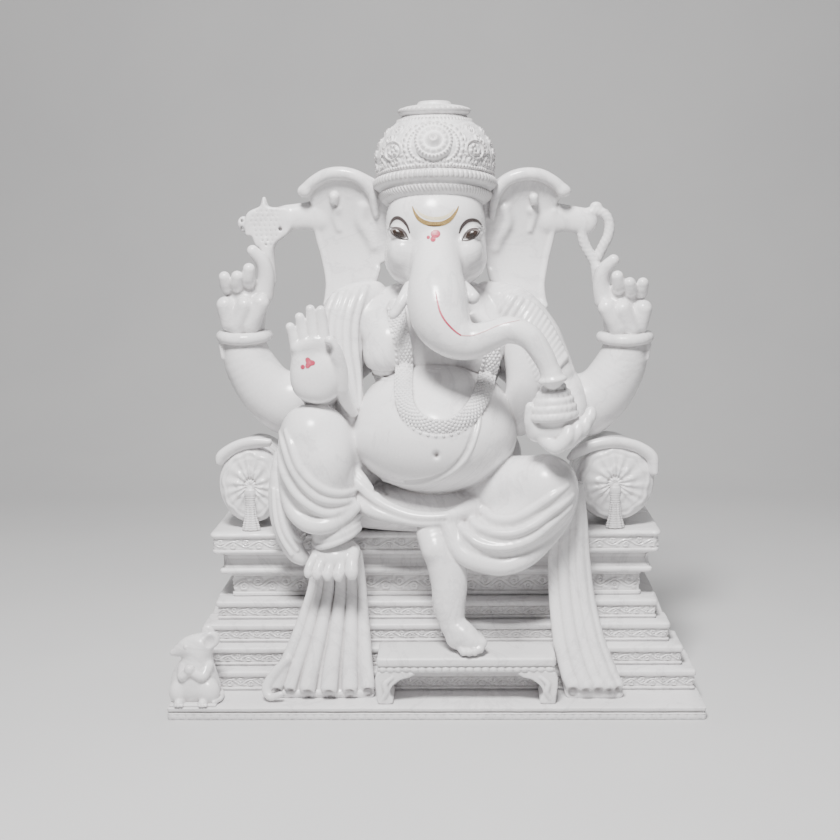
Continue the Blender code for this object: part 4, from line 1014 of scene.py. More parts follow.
def bump(distance, width):
    """A smooth rise from 0 at the width to 1 at no distance."""
    t = np.clip(1.0 - np.abs(distance) / width, 0.0, 1.0)
    return t * t * (3.0 - 2.0 * t)


def flower(u, v, size, petals, spin=0.0):
    """The height, 0 to 1, of a carved flower with the given radius in metres."""
    r = np.hypot(u, v) / size
    a = np.arctan2(v, u) + spin
    edge = 0.78 + 0.2 * np.abs(np.cos(petals * a / 2.0))
    leaf = bump(r - 0.62 * edge, 0.34) * (0.45 + 0.55 * np.abs(np.cos(petals * a / 2.0)))
    heart = bump(r, 0.3)
    return np.maximum(leaf * (r < 1.15), heart)


def vine(s, v, period, height):
    """A running scroll with a flower in each bend; s runs along it and v is 0 to 1 across."""
    phase = 2 * math.pi * s / period
    across = (v - 0.5) * height
    stem = bump(across - 0.24 * height * np.sin(phase), 0.1 * height) * 0.7
    total = stem
    for shift, side in ((0.25, -1), (0.75, 1)):
        u = (s / period - shift + 0.5) % 1.0 - 0.5
        total = np.maximum(total, flower(u * period, across - side * 0.16 * height,
                                         0.34 * height, 5, shift * 9))
        leaf_u = u * period - 0.17 * period
        leaf = bump(np.hypot(leaf_u * 0.7, across + side * 0.3 * height), 0.17 * height)
        total = np.maximum(total, leaf * 0.8)
    return total


def beads(s, v, period):
    """A row of half-round beads."""
    u = (s / period) % 1.0 - 0.5
    return np.sqrt(np.maximum(1.0 - (2.1 * u) ** 2 - (1.9 * (v - 0.5)) ** 2, 0.0))


def height_of(node):
    """The height of a CAD node's box."""
    low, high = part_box(node)
    return high[2] - low[2]


def course(node, profile, relief, corner=0.003, taper=0.0):
    """A block of the throne: a profile of (offset, height) swept round its CAD node's box.

    relief(s, z) gives the carving's height, with s running round from the front's middle.
    taper draws the two ends in towards the top.
    """
    spacing = 0.0011
    slot = "polished_marble" if node == "seat_slab" else "carved_marble"
    low, high = [np.array(end, dtype=float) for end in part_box(node)]
    centre, half = (low + high) / 2, (high - low) / 2
    profile = np.array(profile, dtype=float)
    length = run_length(profile)
    dense = np.linspace(0, length[-1], max(int(length[-1] / 0.0007), 8))
    offset, z = [np.interp(dense, length, profile[:, k]) for k in range(2)]
    hx, hy = half[0] - corner, half[1] - corner
    pieces = []
    arc = corner * math.pi / 2
    for cx, cy, a0, run in ((1, -1, -90, 2 * hy), (1, 1, 0, 2 * hx), (-1, 1, 90, 2 * hy),
                            (-1, -1, 180, 2 * hx)):
        for k in range(5):
            a = math.radians(a0 + 90 * k / 4)
            pieces.append((cx * hx, cy * hy, math.cos(a), math.sin(a), arc / 4))
        steps = max(int(run / spacing), 2)
        nx, ny = math.cos(a), math.sin(a)
        tx, ty = -ny, nx
        for k in range(1, steps):
            pieces.append((cx * hx + tx * run * k / steps, cy * hy + ty * run * k / steps,
                           nx, ny, run / steps))
    pieces = np.array(pieces)
    s = np.cumsum(pieces[:, 4])
    front = np.argmin(np.abs(pieces[:, 0]) + (pieces[:, 3] > -0.5) * 9)
    s = s - s[front]
    ss, zz = np.meshgrid(s, z)
    out = offset[:, None] + relief(ss, zz)
    reach = corner + out
    narrow = 1.0 - taper * np.clip(zz / z.max(), 0, 1)
    px = centre[0] + (pieces[:, 0][None, :] + reach * pieces[:, 2]) * narrow
    py = centre[1] + pieces[:, 1][None, :] + reach * pieces[:, 3]
    points = np.stack([px, py, low[2] + zz], -1)
    rows = len(z)
    quads = grid_quads(rows, len(pieces), True)
    cloud = [points.reshape(-1, 3)]
    start = len(cloud[0])
    columns = len(pieces)
    c = np.arange(columns)
    n = (c + 1) % columns
    shrink = np.clip(1 - 0.012 / half[:2], 0.1, 1)
    for level, base, top in ((points[0], 0, False), (points[-1], (rows - 1) * columns, True)):
        for scale, below in ((shrink, base), (0.02, start)):
            ring = level.copy()
            ring[:, :2] = centre[:2] + (ring[:, :2] - centre[:2]) * scale
            cloud.append(ring)
            strip = np.stack([below + c, below + n, start + n, start + c], 1)
            quads = np.concatenate([quads, strip if top else strip[:, ::-1]])
            start += columns
    made = stone(node, np.concatenate(cloud), quads, slot)
    made.data.set_sharp_from_angle(angle=math.radians(50))


def ragged(s, seed):
    """A slow unevenness of a few tenths of a millimetre, as hand carving has."""
    return 0.00012 * (np.sin(s * 61 + seed) + np.sin(s * 143 + seed * 2.3) + np.sin(s * 307 + seed))


def make_throne():
    """Plinth, core, steps, neck, cornice, seat slab and stool top with their carved borders."""
    rise = height_of("plinth")
    course("plinth",
           [(-0.0012, 0), (0, 0.0008), (0, 0.0062), (-0.002, 0.007), (-0.002, 0.0082),
            (0.0000, 0.0092), (0.0002, rise - 0.0006), (-0.0012, rise)],
           lambda s, z: ragged(s, 1) + 0.0007 * (z < 0.006) * (z > 0.0008)
           * (beads(s, (z - 0.0008) / 0.005, 0.0085) - 0.8))
    rise = height_of("base_core")
    course("base_core",
           [(-0.001, 0), (-0.0004, 0.001), (-0.0004, rise - 0.0008), (-0.001, rise)],
           lambda s, z: ragged(s, 2), taper=0.122)
    for i in range(4):
        rise = height_of("step_%d" % (i + 1))
        nose = rise - 0.0062
        profile = [(-0.0022, 0), (-0.0022, 0.0012), (-0.0008, 0.0018), (-0.0008, 0.0032),
                   (-0.0026, 0.0038), (-0.0026, nose - 0.0008), (-0.0004, nose),
                   (0.0004, nose + 0.0018), (0.0004, rise - 0.002), (-0.0004, rise - 0.0006),
                   (-0.0022, rise)]
        band_low, band_high = 0.004, nose - 0.001

        def relief(s, z, band_low=band_low, band_high=band_high, i=i):
            v = (z - band_low) / (band_high - band_low)
            inside = (v > 0) & (v < 1)
            return ragged(s, 3 + i) + inside * 0.0019 * vine(s + 0.004 * i, np.clip(v, 0, 1),
                                                             0.0215, band_high - band_low)

        course("step_%d" % (i + 1), profile, relief, 0.0025)
    rise = height_of("throne_neck")
    course("throne_neck",
           [(-0.001, 0), (0.0004, 0.001), (0.0004, 0.004), (-0.0014, 0.0048),
            (-0.0014, rise - 0.0046), (0.0006, rise - 0.0036), (0.0006, rise - 0.0004),
            (-0.001, rise)],
           lambda s, z: ragged(s, 8) + (z > 0.005) * (z < rise - 0.005) * 0.0019
           * vine(s, np.clip((z - 0.005) / (rise - 0.01), 0, 1), 0.03, rise - 0.01))
    rise = height_of("throne_cornice")
    course("throne_cornice",
           [(-0.003, 0), (-0.0006, 0.0008), (0.0004, 0.0026), (0.0002, 0.0048), (-0.0014, 0.006),
            (-0.0036, 0.0066), (-0.0056, 0.01), (-0.0068, 0.015), (-0.006, 0.019),
            (-0.0036, 0.0205), (-0.0036, rise)],
           lambda s, z: 1.6 * ragged(s, 9))
    rise = height_of("seat_slab")
    course("seat_slab",
           [(-0.004, 0), (-0.0016, 0.0006), (-0.0004, 0.0024), (-0.0004, 0.0042),
            (-0.0018, 0.005), (-0.0018, rise - 0.0068), (0.0002, rise - 0.0058),
            (0.0016, rise - 0.004), (0.0016, rise - 0.0026), (0.0002, rise - 0.0008),
            (-0.003, rise)],
           lambda s, z: ragged(s, 10) + (z > 0.0052) * (z < rise - 0.007) * 0.0017
           * vine(s, np.clip((z - 0.0052) / (rise - 0.0122), 0, 1), 0.027, rise - 0.0122), 0.006)
    rise = height_of("footstool_top")
    course("footstool_top",
           [(-0.002, 0), (-0.0016, 0.001), (-0.0016, rise - 0.0092), (0.0000, rise - 0.0084),
            (0.0006, rise - 0.006), (0.0006, rise - 0.0022), (-0.0004, rise - 0.0006),
            (-0.0024, rise)],
           lambda s, z: ragged(s, 11) + (z > 0.0006) * (z < rise - 0.0095) * 0.0016
           * beads(s, np.clip((z - 0.0006) / (rise - 0.0101), 0, 1), 0.0078))


def make_crown():
    """Arched brow band, domed cap and collar, covered with carved rosettes, beads and scrolls."""
    def cap(node, profile, relief, count):
        """A turned piece, drawn in below and raised in front so that the brow band arches."""
        points, quads = turned_mesh(profile, count, relief)
        forward = np.clip(-points[:, 1] / 0.06, 0.0, 1.0)
        share = np.clip((0.58 - points[:, 2]) / 0.04, 0.0, 1.0)
        taper = 1.0 - 0.13 * np.clip((0.523 - points[:, 2]) / 0.014, 0.0, 1.0)
        points[:, :2] *= taper[:, None]
        points[:, 2] += (0.0092 * forward - 0.006) * share
        points[:, 2] -= 0.003 * np.clip((points[:, 2] - 0.575) / 0.018, 0.0, 1.0)
        stone(node, points + CROWN_AXIS, quads)

    def band_relief(a, r, z):
        upper = 0.0014 * beads(a * BAND_RADIUS, (z - 0.5225) / 0.0085,
                               2 * math.pi * BAND_RADIUS / 76)
        lower = 0.0005 * np.sin(a * 96 + z * 700) * ((z > 0.5095) & (z < 0.5165))
        return np.where(z > 0.521, upper, lower)

    cap("crown_band",
        [(0.04, 0.5055), (0.056, 0.5055), (0.0582, 0.5062), (0.0592, 0.5074), (0.0612, 0.5088),
         (0.0624, 0.511), (0.0626, 0.5135), (0.0616, 0.516), (0.0592, 0.5178), (0.0588, 0.5205),
         (0.0606, 0.522), (0.062, 0.5245), (0.0622, 0.5275), (0.061, 0.5305), (0.059, 0.532),
         (0.04, 0.5322)], band_relief, 720)

    def dome_relief(a, r, z):
        a = (a + math.pi) % (2 * math.pi) - math.pi
        height = (z - 0.532) * 1.25
        total = np.zeros_like(a)
        for row, (level, size, count) in enumerate(((0.012, 0.0074, 18), (0.0262, 0.007, 16),
                                                    (0.0395, 0.0062, 14), (0.0515, 0.005, 12))):
            for k in range(count):
                middle = (k + 0.5 * (row % 2)) * 2 * math.pi / count
                u = ((a - middle + math.pi) % (2 * math.pi) - math.pi) * r
                near = np.hypot(u, height - level)
                total = np.maximum(total, flower(u, height - level, size, 5 + row % 2, k + row))
                curl = np.arctan2(height - level, u) + near * 900
                total = np.maximum(total, 0.55 * bump(near - size * 1.28, 0.0016)
                                   * (0.5 + 0.5 * np.cos(curl)))
        ripple = np.sin(a * 46 + 9 * np.sin(z * 260)) * np.sin(z * 1500 + 4 * np.sin(a * 14))
        total = np.maximum(total, 0.22 * np.clip(ripple, 0, 1))
        across, up = a * r, height - 0.03
        front, turn = np.hypot(across, up), np.arctan2(up, across)
        rings = 0.85 * bump(front - 0.0248, 0.0022) * (0.62 + 0.38 * np.cos(turn * 38))
        rings = np.maximum(rings, 0.9 * bump(front - 0.03, 0.0026) * (0.5 + 0.5 * np.cos(turn * 26)))
        total = np.where(front < 0.0325, rings, total)
        for side in (-1, 1):
            out, rise = across - side * 0.044, height - 0.025
            lobe = np.hypot(out, rise)
            total = np.where(lobe < 0.012, np.maximum(flower(out, rise, 0.0092, 7),
                                                       bump(lobe - 0.0108, 0.0016)), total)
        rim = bump(z - 0.535, 0.0022) * (0.7 + 0.3 * np.cos(a * 110))
        top = bump(z - 0.585, 0.0022) * (0.7 + 0.3 * np.cos(a * 64))
        leaf = bump(z - 0.54, 0.0034) * np.abs(np.cos(a * 36)) * 0.6
        return 0.0026 * np.maximum(np.maximum(total, leaf), np.maximum(rim, top))

    cap("crown_dome",
        [(0.05, 0.5322), (0.056, 0.5324), (0.058, 0.5335), (0.0582, 0.5375), (0.0586, 0.542),
         (0.0594, 0.548), (0.0592, 0.554), (0.0568, 0.561), (0.0524, 0.5685), (0.0464, 0.5755),
         (0.0396, 0.582), (0.0345, 0.5868), (0.0325, 0.5905), (0.02, 0.5906)], dome_relief, 900)

    def collar_relief(a, r, z):
        return 0.0007 * np.abs(np.cos(a * 20)) * ((z > 0.5965) & (r > 0.018) & (z < 0.6015))

    cap("crown_finial",
        [(0.025, 0.59), (0.0318, 0.5904), (0.0338, 0.5925), (0.0362, 0.5945), (0.0368, 0.5962),
         (0.035, 0.598), (0.029, 0.5998), (0.021, 0.6012), (0.0176, 0.6022), (0.0166, 0.6045),
         (0.015, 0.6058), (0.0005, 0.606)], collar_relief, 480)

    def rosette_relief(a, r, z):
        petals = 0.0018 * bump(r - 0.0122, 0.0034) * (0.35 + 0.65 * np.abs(np.cos(a * 7)))
        ring = 0.0022 * bump(r - 0.0172, 0.0024) * (0.65 + 0.35 * np.cos(a * 30))
        heart = 0.008 * bump(r, 0.0092)
        return petals + ring + heart

    points, quads = turned_mesh([(0.02, 0.0), (0.0203, 0.0012), (0.0185, 0.0026),
                                 (0.012, 0.004), (0.0002, 0.0046)], 280, rosette_relief, 0.0005)
    lean = math.radians(25)
    laid = np.stack([points[:, 0], -points[:, 2] * math.cos(lean) + points[:, 1] * math.sin(lean),
                     points[:, 2] * math.sin(lean) + points[:, 1] * math.cos(lean)], 1)
    laid[:, 1] += (laid[:, 0] ** 2 + laid[:, 2] ** 2) / (2 * 0.058)
    stone("crown_medallion", laid + MEDALLION_AT, quads)


def make_bolsters():
    """Round cushions carved in stone: gathered face, rolled cover edge and a tassel."""
    covers = {"right": [(-0.0322, 0.025), (-0.03, 0.032), (-0.0187, 0.0402), (-0.007, 0.045),
                        (0.006, 0.047), (0.021, 0.046)],
              "left": [(-0.047, 0.027), (-0.039, 0.0345), (-0.024, 0.0408), (-0.007, 0.0438),
                       (0.012, 0.0425), (0.028, 0.037), (0.0395, 0.027), (0.041, 0.011)]}
    front, back = BOLSTER_FRONT, BOLSTER_BACK
    deep = back - front
    for name, x, z, roll, squeeze in (("right", -0.1905, 0.2165, 0.0412, 0.82),
                                      ("left", 0.186, 0.216, 0.0408, 1.00)):
        def skin(a, r, depth, roll=roll):
            face = np.clip((depth - deep + 0.012) / 0.004, 0, 1)
            fade = np.clip(r / roll, 0, 1)
            wave = np.cos(a * 15 + 1.3 * np.sin(a * 3) + 2.2 * fade)
            pleats = 0.0008 * wave * np.sin(math.pi * fade ** 0.8) * face
            star = 0.017 + 0.0045 * np.abs(np.cos(a * 4.5))
            petals = 0.0013 * np.clip((star - r) / 0.004, 0, 1) * face
            seam = 0.0011 * bump(r - 0.0335 - 0.0012 * np.cos(a * 9), 0.0034) * face
            hollow = -0.002 * bump(r - 0.007, 0.0034) * face
            wrap = 0.0006 * np.sin(depth * 300 + 1.5 * np.sin(a * 3)) * (1 - face)
            return pleats + petals + seam + hollow + wrap

        profile = [(0.001, 0.0), (roll - 0.006, 0.0), (roll - 0.0015, 0.002), (roll, 0.0065),
                   (roll + 0.0006, 0.04), (roll, deep - 0.0095), (roll - 0.0014, deep - 0.005),
                   (roll - 0.006, deep - 0.0018), (0.028, deep + 0.0006), (0.015, deep + 0.001),
                   (0.005, deep - 0.0004), (0.0002, deep - 0.001)]
        points, quads = turned_mesh(profile, 360, skin)
        laid = np.stack([points[:, 0] * squeeze + x, back - points[:, 2], z - points[:, 1]], 1)
        laid[:, 2] = np.maximum(laid[:, 2], BOLSTER_FLOOR)
        stone("bolster_" + name, laid, quads, "polished_marble")
        cover = Member("cover", 0.001)
        arc = [(x + across, front + 0.001, z + up) for across, up in covers[name]]
        cover.add(Limb(arc, [0.0026] + [0.0038] * (len(arc) - 2) + [0.003], 6))
        inner = [(x + across * 0.93, front + 0.0045, z + up * 0.93) for across, up in covers[name]]
        cover.add(Limb(inner, [0.002] + [0.0052] * (len(arc) - 2) + [0.003], 6), 0.005)
        low = np.array([x - 0.06, front - 0.012, z - 0.012])
        high = np.array([x + 0.06, front + 0.022, z + 0.062])
        field, _ = fill_field([cover], low, high, FINE_VOXEL)
        spots, normals, faces, _ = surface(field, low, FINE_VOXEL)
        mesh = build_mesh("bolster_%s_roll" % name, spots, faces, normals)
        piece("bolster_%s_roll" % name, mesh, MARBLE["polished_marble"], "polished_marble")

        def strands(a, r, depth):
            ribs = 0.0004 * np.sin(depth * 2600) * (depth < 0.036)
            return 0.0005 * np.cos(a * 9) * (depth < 0.026) + ribs

        points, quads = turned_mesh([(0.0004, 0.0), (0.0088, 0.0), (0.0092, 0.0015),
                                     (0.0084, 0.005), (0.0062, 0.014), (0.0052, 0.023),
                                     (0.005, 0.03), (0.0054, 0.035), (0.006, 0.0385),
                                     (0.0056, 0.042), (0.0036, 0.044), (0.0003, 0.0448)],
                                    96, strands, 0.0005)
        stone("tassel_" + name, points * (1.0, 0.6, 1.0) + (x, front - 0.0022, 0.17), quads)


def make_mouse():
    """The mouse at the plinth's corner, its head tipped up and turned to the viewer's left."""
    mouse = Member("mouse", 0.001)
    mouse.add(Ball((-0.242, -0.085, 0.033), (0.0225, 0.0185, 0.022)))
    mouse.add(Ball((-0.24, -0.083, 0.025), (0.024, 0.019, 0.015)), 0.008)
    mouse.add(Limb([(-0.238, -0.085, 0.044), (-0.236, -0.086, 0.06)], [0.0165, 0.0135]), 0.008)
    mouse.add(Limb([(-0.233, -0.086, 0.069), (-0.244, -0.0865, 0.068), (-0.254, -0.087, 0.0645),
                    (-0.261, -0.0875, 0.0622)], [0.0125, 0.0108, 0.007, 0.0036], 5), 0.004)
    mouse.add(Ball((-0.2618, -0.088, 0.063), (0.0024, 0.0026, 0.0024)), 0.001)
    mouse.add(Ball((-0.2225, -0.088, 0.0755), (0.0088, 0.0048, 0.009), (0, 0, 18)), 0.002)
    mouse.cut(Ball((-0.2225, -0.0935, 0.0755), (0.0062, 0.0036, 0.0064), (0, 0, 18)), 0.002)
    mouse.add(Ball((-0.228, -0.076, 0.079), (0.007, 0.004, 0.008)), 0.002)
    mouse.add(Ball((-0.2465, -0.096, 0.0705), (0.0022, 0.0018, 0.0022)), 0.0008)
    mouse.cut(Limb([(-0.25, -0.0985, 0.072), (-0.2465, -0.099, 0.0745), (-0.2425, -0.0985, 0.0725)],
                   0.0009), 0.001)
    mouse.cut(Limb([(-0.26, -0.092, 0.06), (-0.252, -0.095, 0.0595)], 0.0008), 0.001)
    mouse.add(Limb([(-0.226, -0.092, 0.05), (-0.23, -0.101, 0.042), (-0.24, -0.103, 0.047)],
                   [0.006, 0.005, 0.0038], 4), 0.002)
    mouse.add(Limb([(-0.25, -0.094, 0.047), (-0.25, -0.101, 0.042), (-0.244, -0.1035, 0.047)],
                   [0.0058, 0.0048, 0.0036], 4), 0.002)
    mouse.add(Ball((-0.242, -0.104, 0.05), (0.0052, 0.0046, 0.005)), 0.001)
    mouse.add(Ball((-0.226, -0.096, 0.025), (0.0115, 0.01, 0.013)), 0.003)
    mouse.add(Ball((-0.256, -0.096, 0.024), (0.009, 0.0095, 0.012)), 0.003)
    for foot_x in (-0.229, -0.253):
        mouse.add(Limb([(foot_x, -0.096, 0.0165), (foot_x - 0.001, -0.1065, 0.0158)],
                       [0.0052, 0.0042]), 0.002)
        for toe in (-1, 0, 1):
            mouse.add(Ball((foot_x + toe * 0.003, -0.109, 0.015), (0.0016, 0.0028, 0.0018)), 0.0008)
    mouse.add(Limb([(-0.225, -0.07, 0.018), (-0.217, -0.078, 0.0165), (-0.215, -0.093, 0.016),
                    (-0.219, -0.103, 0.016)], [0.004, 0.0034, 0.0028, 0.0018], 5), 0.002)
    mouse.add(Block((-0.24, -0.087, 0.0138), (0.0235, 0.0205, 0.0012), 0.0008), 0.001)
    carve([mouse], MOUSE_LOW, MOUSE_HIGH, MOUSE_VOXEL)


# ------------------------------------------------------------------ painted lines and small beads
def stroke(name, spots, widths, material, on, lift=0.00022, steps=6, across=5):
    """Paint: a ribbon along (x, z) spots that lies on the front of the members."""
    path = eased(spots, steps)
    half = eased(widths if not np.isscalar(widths) else [widths] * len(spots), steps)
    run = np.gradient(path, axis=0)
    run /= np.linalg.norm(run, axis=1)[:, None] + 1e-12
    side = np.stack([-run[:, 1], run[:, 0]], 1)
    rows = []
    for t in np.linspace(-1, 1, across):
        rows.append(path + side * (half * t)[:, None])
    flat = np.stack(rows, 1).reshape(-1, 2)
    points = front_of(on, flat, -lift)
    quads = grid_quads(len(path), across, False)
    piece(name, build_mesh(name, points, quads), material, "polished_marble")


def patch(name, centre, outline, material, on, lift=0.0002, rings=7):
    """Paint: a filled shape given by outline(angle) radii round an (x, z) centre."""
    angles = np.linspace(0, 2 * math.pi, 48, endpoint=False)
    rows = []
    for ring in np.linspace(0.02, 1.0, rings):
        radii = np.array([outline(a) for a in angles]) * ring
        rows.append(np.stack([centre[0] + radii * np.cos(angles),
                              centre[1] + radii * np.sin(angles)], 1))
    points = front_of(on, np.concatenate(rows), -lift)
    quads = grid_quads(rings, 48, True)
    piece(name, build_mesh(name, points, quads), material, "polished_marble")


def almond(length, height, turn):
    """The outline of an eye: pointed at both ends, as radius over angle."""
    def radius(a):
        a = a - turn
        c, s = abs(math.cos(a)), abs(math.sin(a))
        low, high = 0.0, length
        for _ in range(30):
            r = (low + high) / 2
            if s * r > height * (1 - min(c * r / length, 1.0) ** 1.7):
                high = r
            else:
                low = r
        return r
    return radius


def paint_face(head, trunk):
    """Eyes, brow lines, the gold crescent, the red marks and the red line on the trunk."""
    on = [head]
    for name, x, z, side in EYES:
        spot = slanted(x, z, side)
        patch("eye_white_" + name, (x, z), almond(0.0094, 0.0042, side * EYE_SLANT),
              PAINT["sclera"], on, 0.00015)
        patch("eye_iris_" + name, (x, z), almond(0.0068, 0.0041, side * EYE_SLANT),
              PAINT["iris"], on, 0.0003)
        patch("eye_pupil_" + name, (x, z), lambda a: 0.0022, PAINT["black"], on, 0.0004)
        stroke("eye_lid_" + name, [spot(-0.0108, 0.0004), spot(-0.005, 0.0038), spot(0.0005, 0.0046),
                                   spot(0.006, 0.003), spot(0.0112, -0.001)],
               [0.0003, 0.0009, 0.0012, 0.0009, 0.0004], PAINT["brown"], on, 0.0005)
        stroke("eye_under_" + name, [spot(-0.01, 0.0002), spot(-0.0045, -0.0034),
                                     spot(0.0035, -0.004), spot(0.0108, -0.0014)],
               [0.0002, 0.0006, 0.0008, 0.0004], PAINT["brown"], on, 0.0005)
    ends = [0.0007, 0.0014, 0.0017, 0.0016, 0.0012, 0.0006]
    stroke("brow_right", [(-0.0404, 0.4795), (-0.0372, 0.4857), (-0.0323, 0.4882), (-0.027, 0.4862),
                          (-0.0222, 0.4807), (-0.0194, 0.4729)], ends, PAINT["brown"], on, 0.0004)
    stroke("brow_left", [(0.029, 0.472), (0.0316, 0.4786), (0.0366, 0.4836), (0.0426, 0.485),
                         (0.0482, 0.483), (0.052, 0.4778)], ends, PAINT["brown"], on, 0.0004)
    both = [head, trunk]
    stroke("crescent_gold", [(-0.0165, 0.499), (-0.0142, 0.4928), (-0.0099, 0.4867),
                             (-0.0031, 0.4828), (0.0047, 0.4814), (0.0134, 0.4822),
                             (0.0208, 0.4863), (0.0262, 0.4931), (0.0287, 0.4985)],
           [0.0004, 0.0012, 0.0019, 0.0022, 0.0023, 0.0022, 0.0019, 0.0012, 0.0004],
           PAINT["gold"], both, 0.0003)
    stroke("crescent_pale", [(-0.0133, 0.4968), (-0.0085, 0.4914), (-0.0018, 0.488),
                             (0.0053, 0.4868), (0.0133, 0.4876), (0.0199, 0.4908),
                             (0.0251, 0.4962)],
           [0.0004, 0.0011, 0.0015, 0.0016, 0.0015, 0.0011, 0.0004], PAINT["pale_gold"], both, 0.0002)
    stroke("crescent_edge", [(-0.003, 0.481), (0.0047, 0.4798), (0.0125, 0.4806)],
           [0.0002, 0.0007, 0.0002], PAINT["umber"], both, 0.0004)
    patch("tilak_drop", (0.006, 0.4722), lambda a: 0.0043 * (1 + 0.1 * math.cos(2 * a)),
          PAINT["red"], both, 0.0004)
    patch("tilak_dot", (0.0036, 0.4672), lambda a: 0.0026, PAINT["red"], both, 0.0004)
    patch("tilak_speck", (-0.001, 0.469), lambda a: 0.0017, PAINT["red"], both, 0.0004)
    stroke("trunk_line", [(0.0064, 0.419), (0.0078, 0.411), (0.0106, 0.4003), (0.0161, 0.3909),
                          (0.0244, 0.3823), (0.03, 0.3785)],
           [0.0004, 0.0008, 0.0009, 0.0009, 0.0008, 0.0006], PAINT["red"], both, 0.0004)
    stroke("trunk_line_thin", [(0.03, 0.3785), (0.04, 0.3782), (0.052, 0.382),
                               (0.068, 0.3885), (0.0853, 0.3919)],
           [0.0004, 0.0004, 0.0003, 0.0003, 0.0002], PAINT["faded_red"], both, 0.0004)


def paint_palm(hand):
    """The red mark on the blessing palm."""
    def blot(a):
        return 0.0058 * (0.78 + 0.22 * math.cos(3 * a))

    patch("palm_drop", (-0.118, 0.35), blot, PAINT["red"], [hand], 0.0004)
    patch("palm_dot", (-0.1245, 0.3462), lambda a: 0.0022, PAINT["red"], [hand], 0.0004)


def garland_beads(garland):
    """Rows of small overlapping beads along the garland."""
    limb = garland.steps[0][1]
    path = np.concatenate([limb.start, limb.start[-1:] + limb.along[-1:]]) @ np.linalg.inv(limb.flat)
    length = run_length(path)
    bm = bmesh.new()
    rows = ((-0.0074, -0.0037, 0.0, 0.0037, 0.0074), (-0.0056, -0.0019, 0.0019, 0.0056))
    for k in range(int(length[-1] / BEAD_STEP)):
        at, ahead = [np.array([np.interp((k + on) * BEAD_STEP, length, path[:, c])
                               for c in range(3)]) for on in (0.5, 0.9)]
        ahead -= at
        sideways = unit([-ahead[2], 0.0, ahead[0]])
        spots = np.array([at + sideways * offset for offset in rows[k % 2]])
        spots[:, 1] = front_of([garland], spots[:, [0, 2]], 0.0002)[:, 1]
        for spot in spots:
            made = bmesh.ops.create_icosphere(bm, subdivisions=2, radius=1.0)
            bmesh.ops.scale(bm, vec=Vector(BEAD_RADII), verts=made["verts"])
            bmesh.ops.translate(bm, vec=Vector(spot.tolist()), verts=made["verts"])
    for face in bm.faces:
        face.smooth = True
    mesh = bpy.data.meshes.new("garland_beads")
    bm.to_mesh(mesh)
    bm.free()
    piece("garland_beads", mesh, MARBLE["carved_marble"], "carved_marble")


# ------------------------------------------------------------------ materials
def new_material(name):
    """A material, and the tools that add noise, ramps, blends and bumps to its nodes."""
    made = bpy.data.materials.new(name)
    made.use_nodes = True
    nodes, links = made.node_tree.nodes, made.node_tree.links
    shader = nodes["Principled BSDF"]
    where = nodes.new("ShaderNodeTexCoord")

    def noise(scale, detail=4.0, rough=0.55, distortion=0.0):
        node = nodes.new("ShaderNodeTexNoise")
        node.inputs["Scale"].default_value = scale
        node.inputs["Detail"].default_value = detail
        node.inputs["Roughness"].default_value = rough
        node.inputs["Distortion"].default_value = distortion
        links.new(where.outputs["Object"], node.inputs["Vector"])
        return node.outputs["Fac"]

    def ramp(source, *stops):
        node = nodes.new("ShaderNodeValToRGB")
        while len(node.color_ramp.elements) < len(stops):
            node.color_ramp.elements.new(0.5)
        for element, (at, colour) in zip(node.color_ramp.elements, stops):
            element.position = at
            element.color = (*colour, 1.0)
        links.new(source, node.inputs["Fac"])
        return node.outputs["Color"]

    def spread(source, low, high, to_low, to_high):
        node = nodes.new("ShaderNodeMapRange")
        for label, value in (("From Min", low), ("From Max", high), ("To Min", to_low),
                             ("To Max", to_high)):
            node.inputs[label].default_value = value
        links.new(source, node.inputs["Value"])
        return node.outputs["Result"]

    def blend(kind, factor, a, b):
        node = nodes.new("ShaderNodeMix")
        node.data_type = "RGBA"
        node.blend_type = kind
        if hasattr(factor, "is_linked"):
            links.new(factor, node.inputs["Factor"])
        else:
            node.inputs["Factor"].default_value = factor
        for value, socket in ((a, node.inputs[6]), (b, node.inputs[7])):
            if hasattr(value, "is_linked"):
                links.new(value, socket)
            else:
                socket.default_value = (*value, 1.0)
        return node.outputs[2]

    def bumps(*layers):
        last = None
        for source, strength, distance in layers:
            node = nodes.new("ShaderNodeBump")
            node.inputs["Strength"].default_value = strength
            node.inputs["Distance"].default_value = distance
            links.new(source, node.inputs["Height"])
            if last is not None:
                links.new(last, node.inputs["Normal"])
            last = node.outputs["Normal"]
        links.new(last, shader.inputs["Normal"])

    tools = {"nodes": nodes, "links": links, "shader": shader, "noise": noise, "ramp": ramp,
             "spread": spread, "blend": blend, "bumps": bumps}
    return made, tools


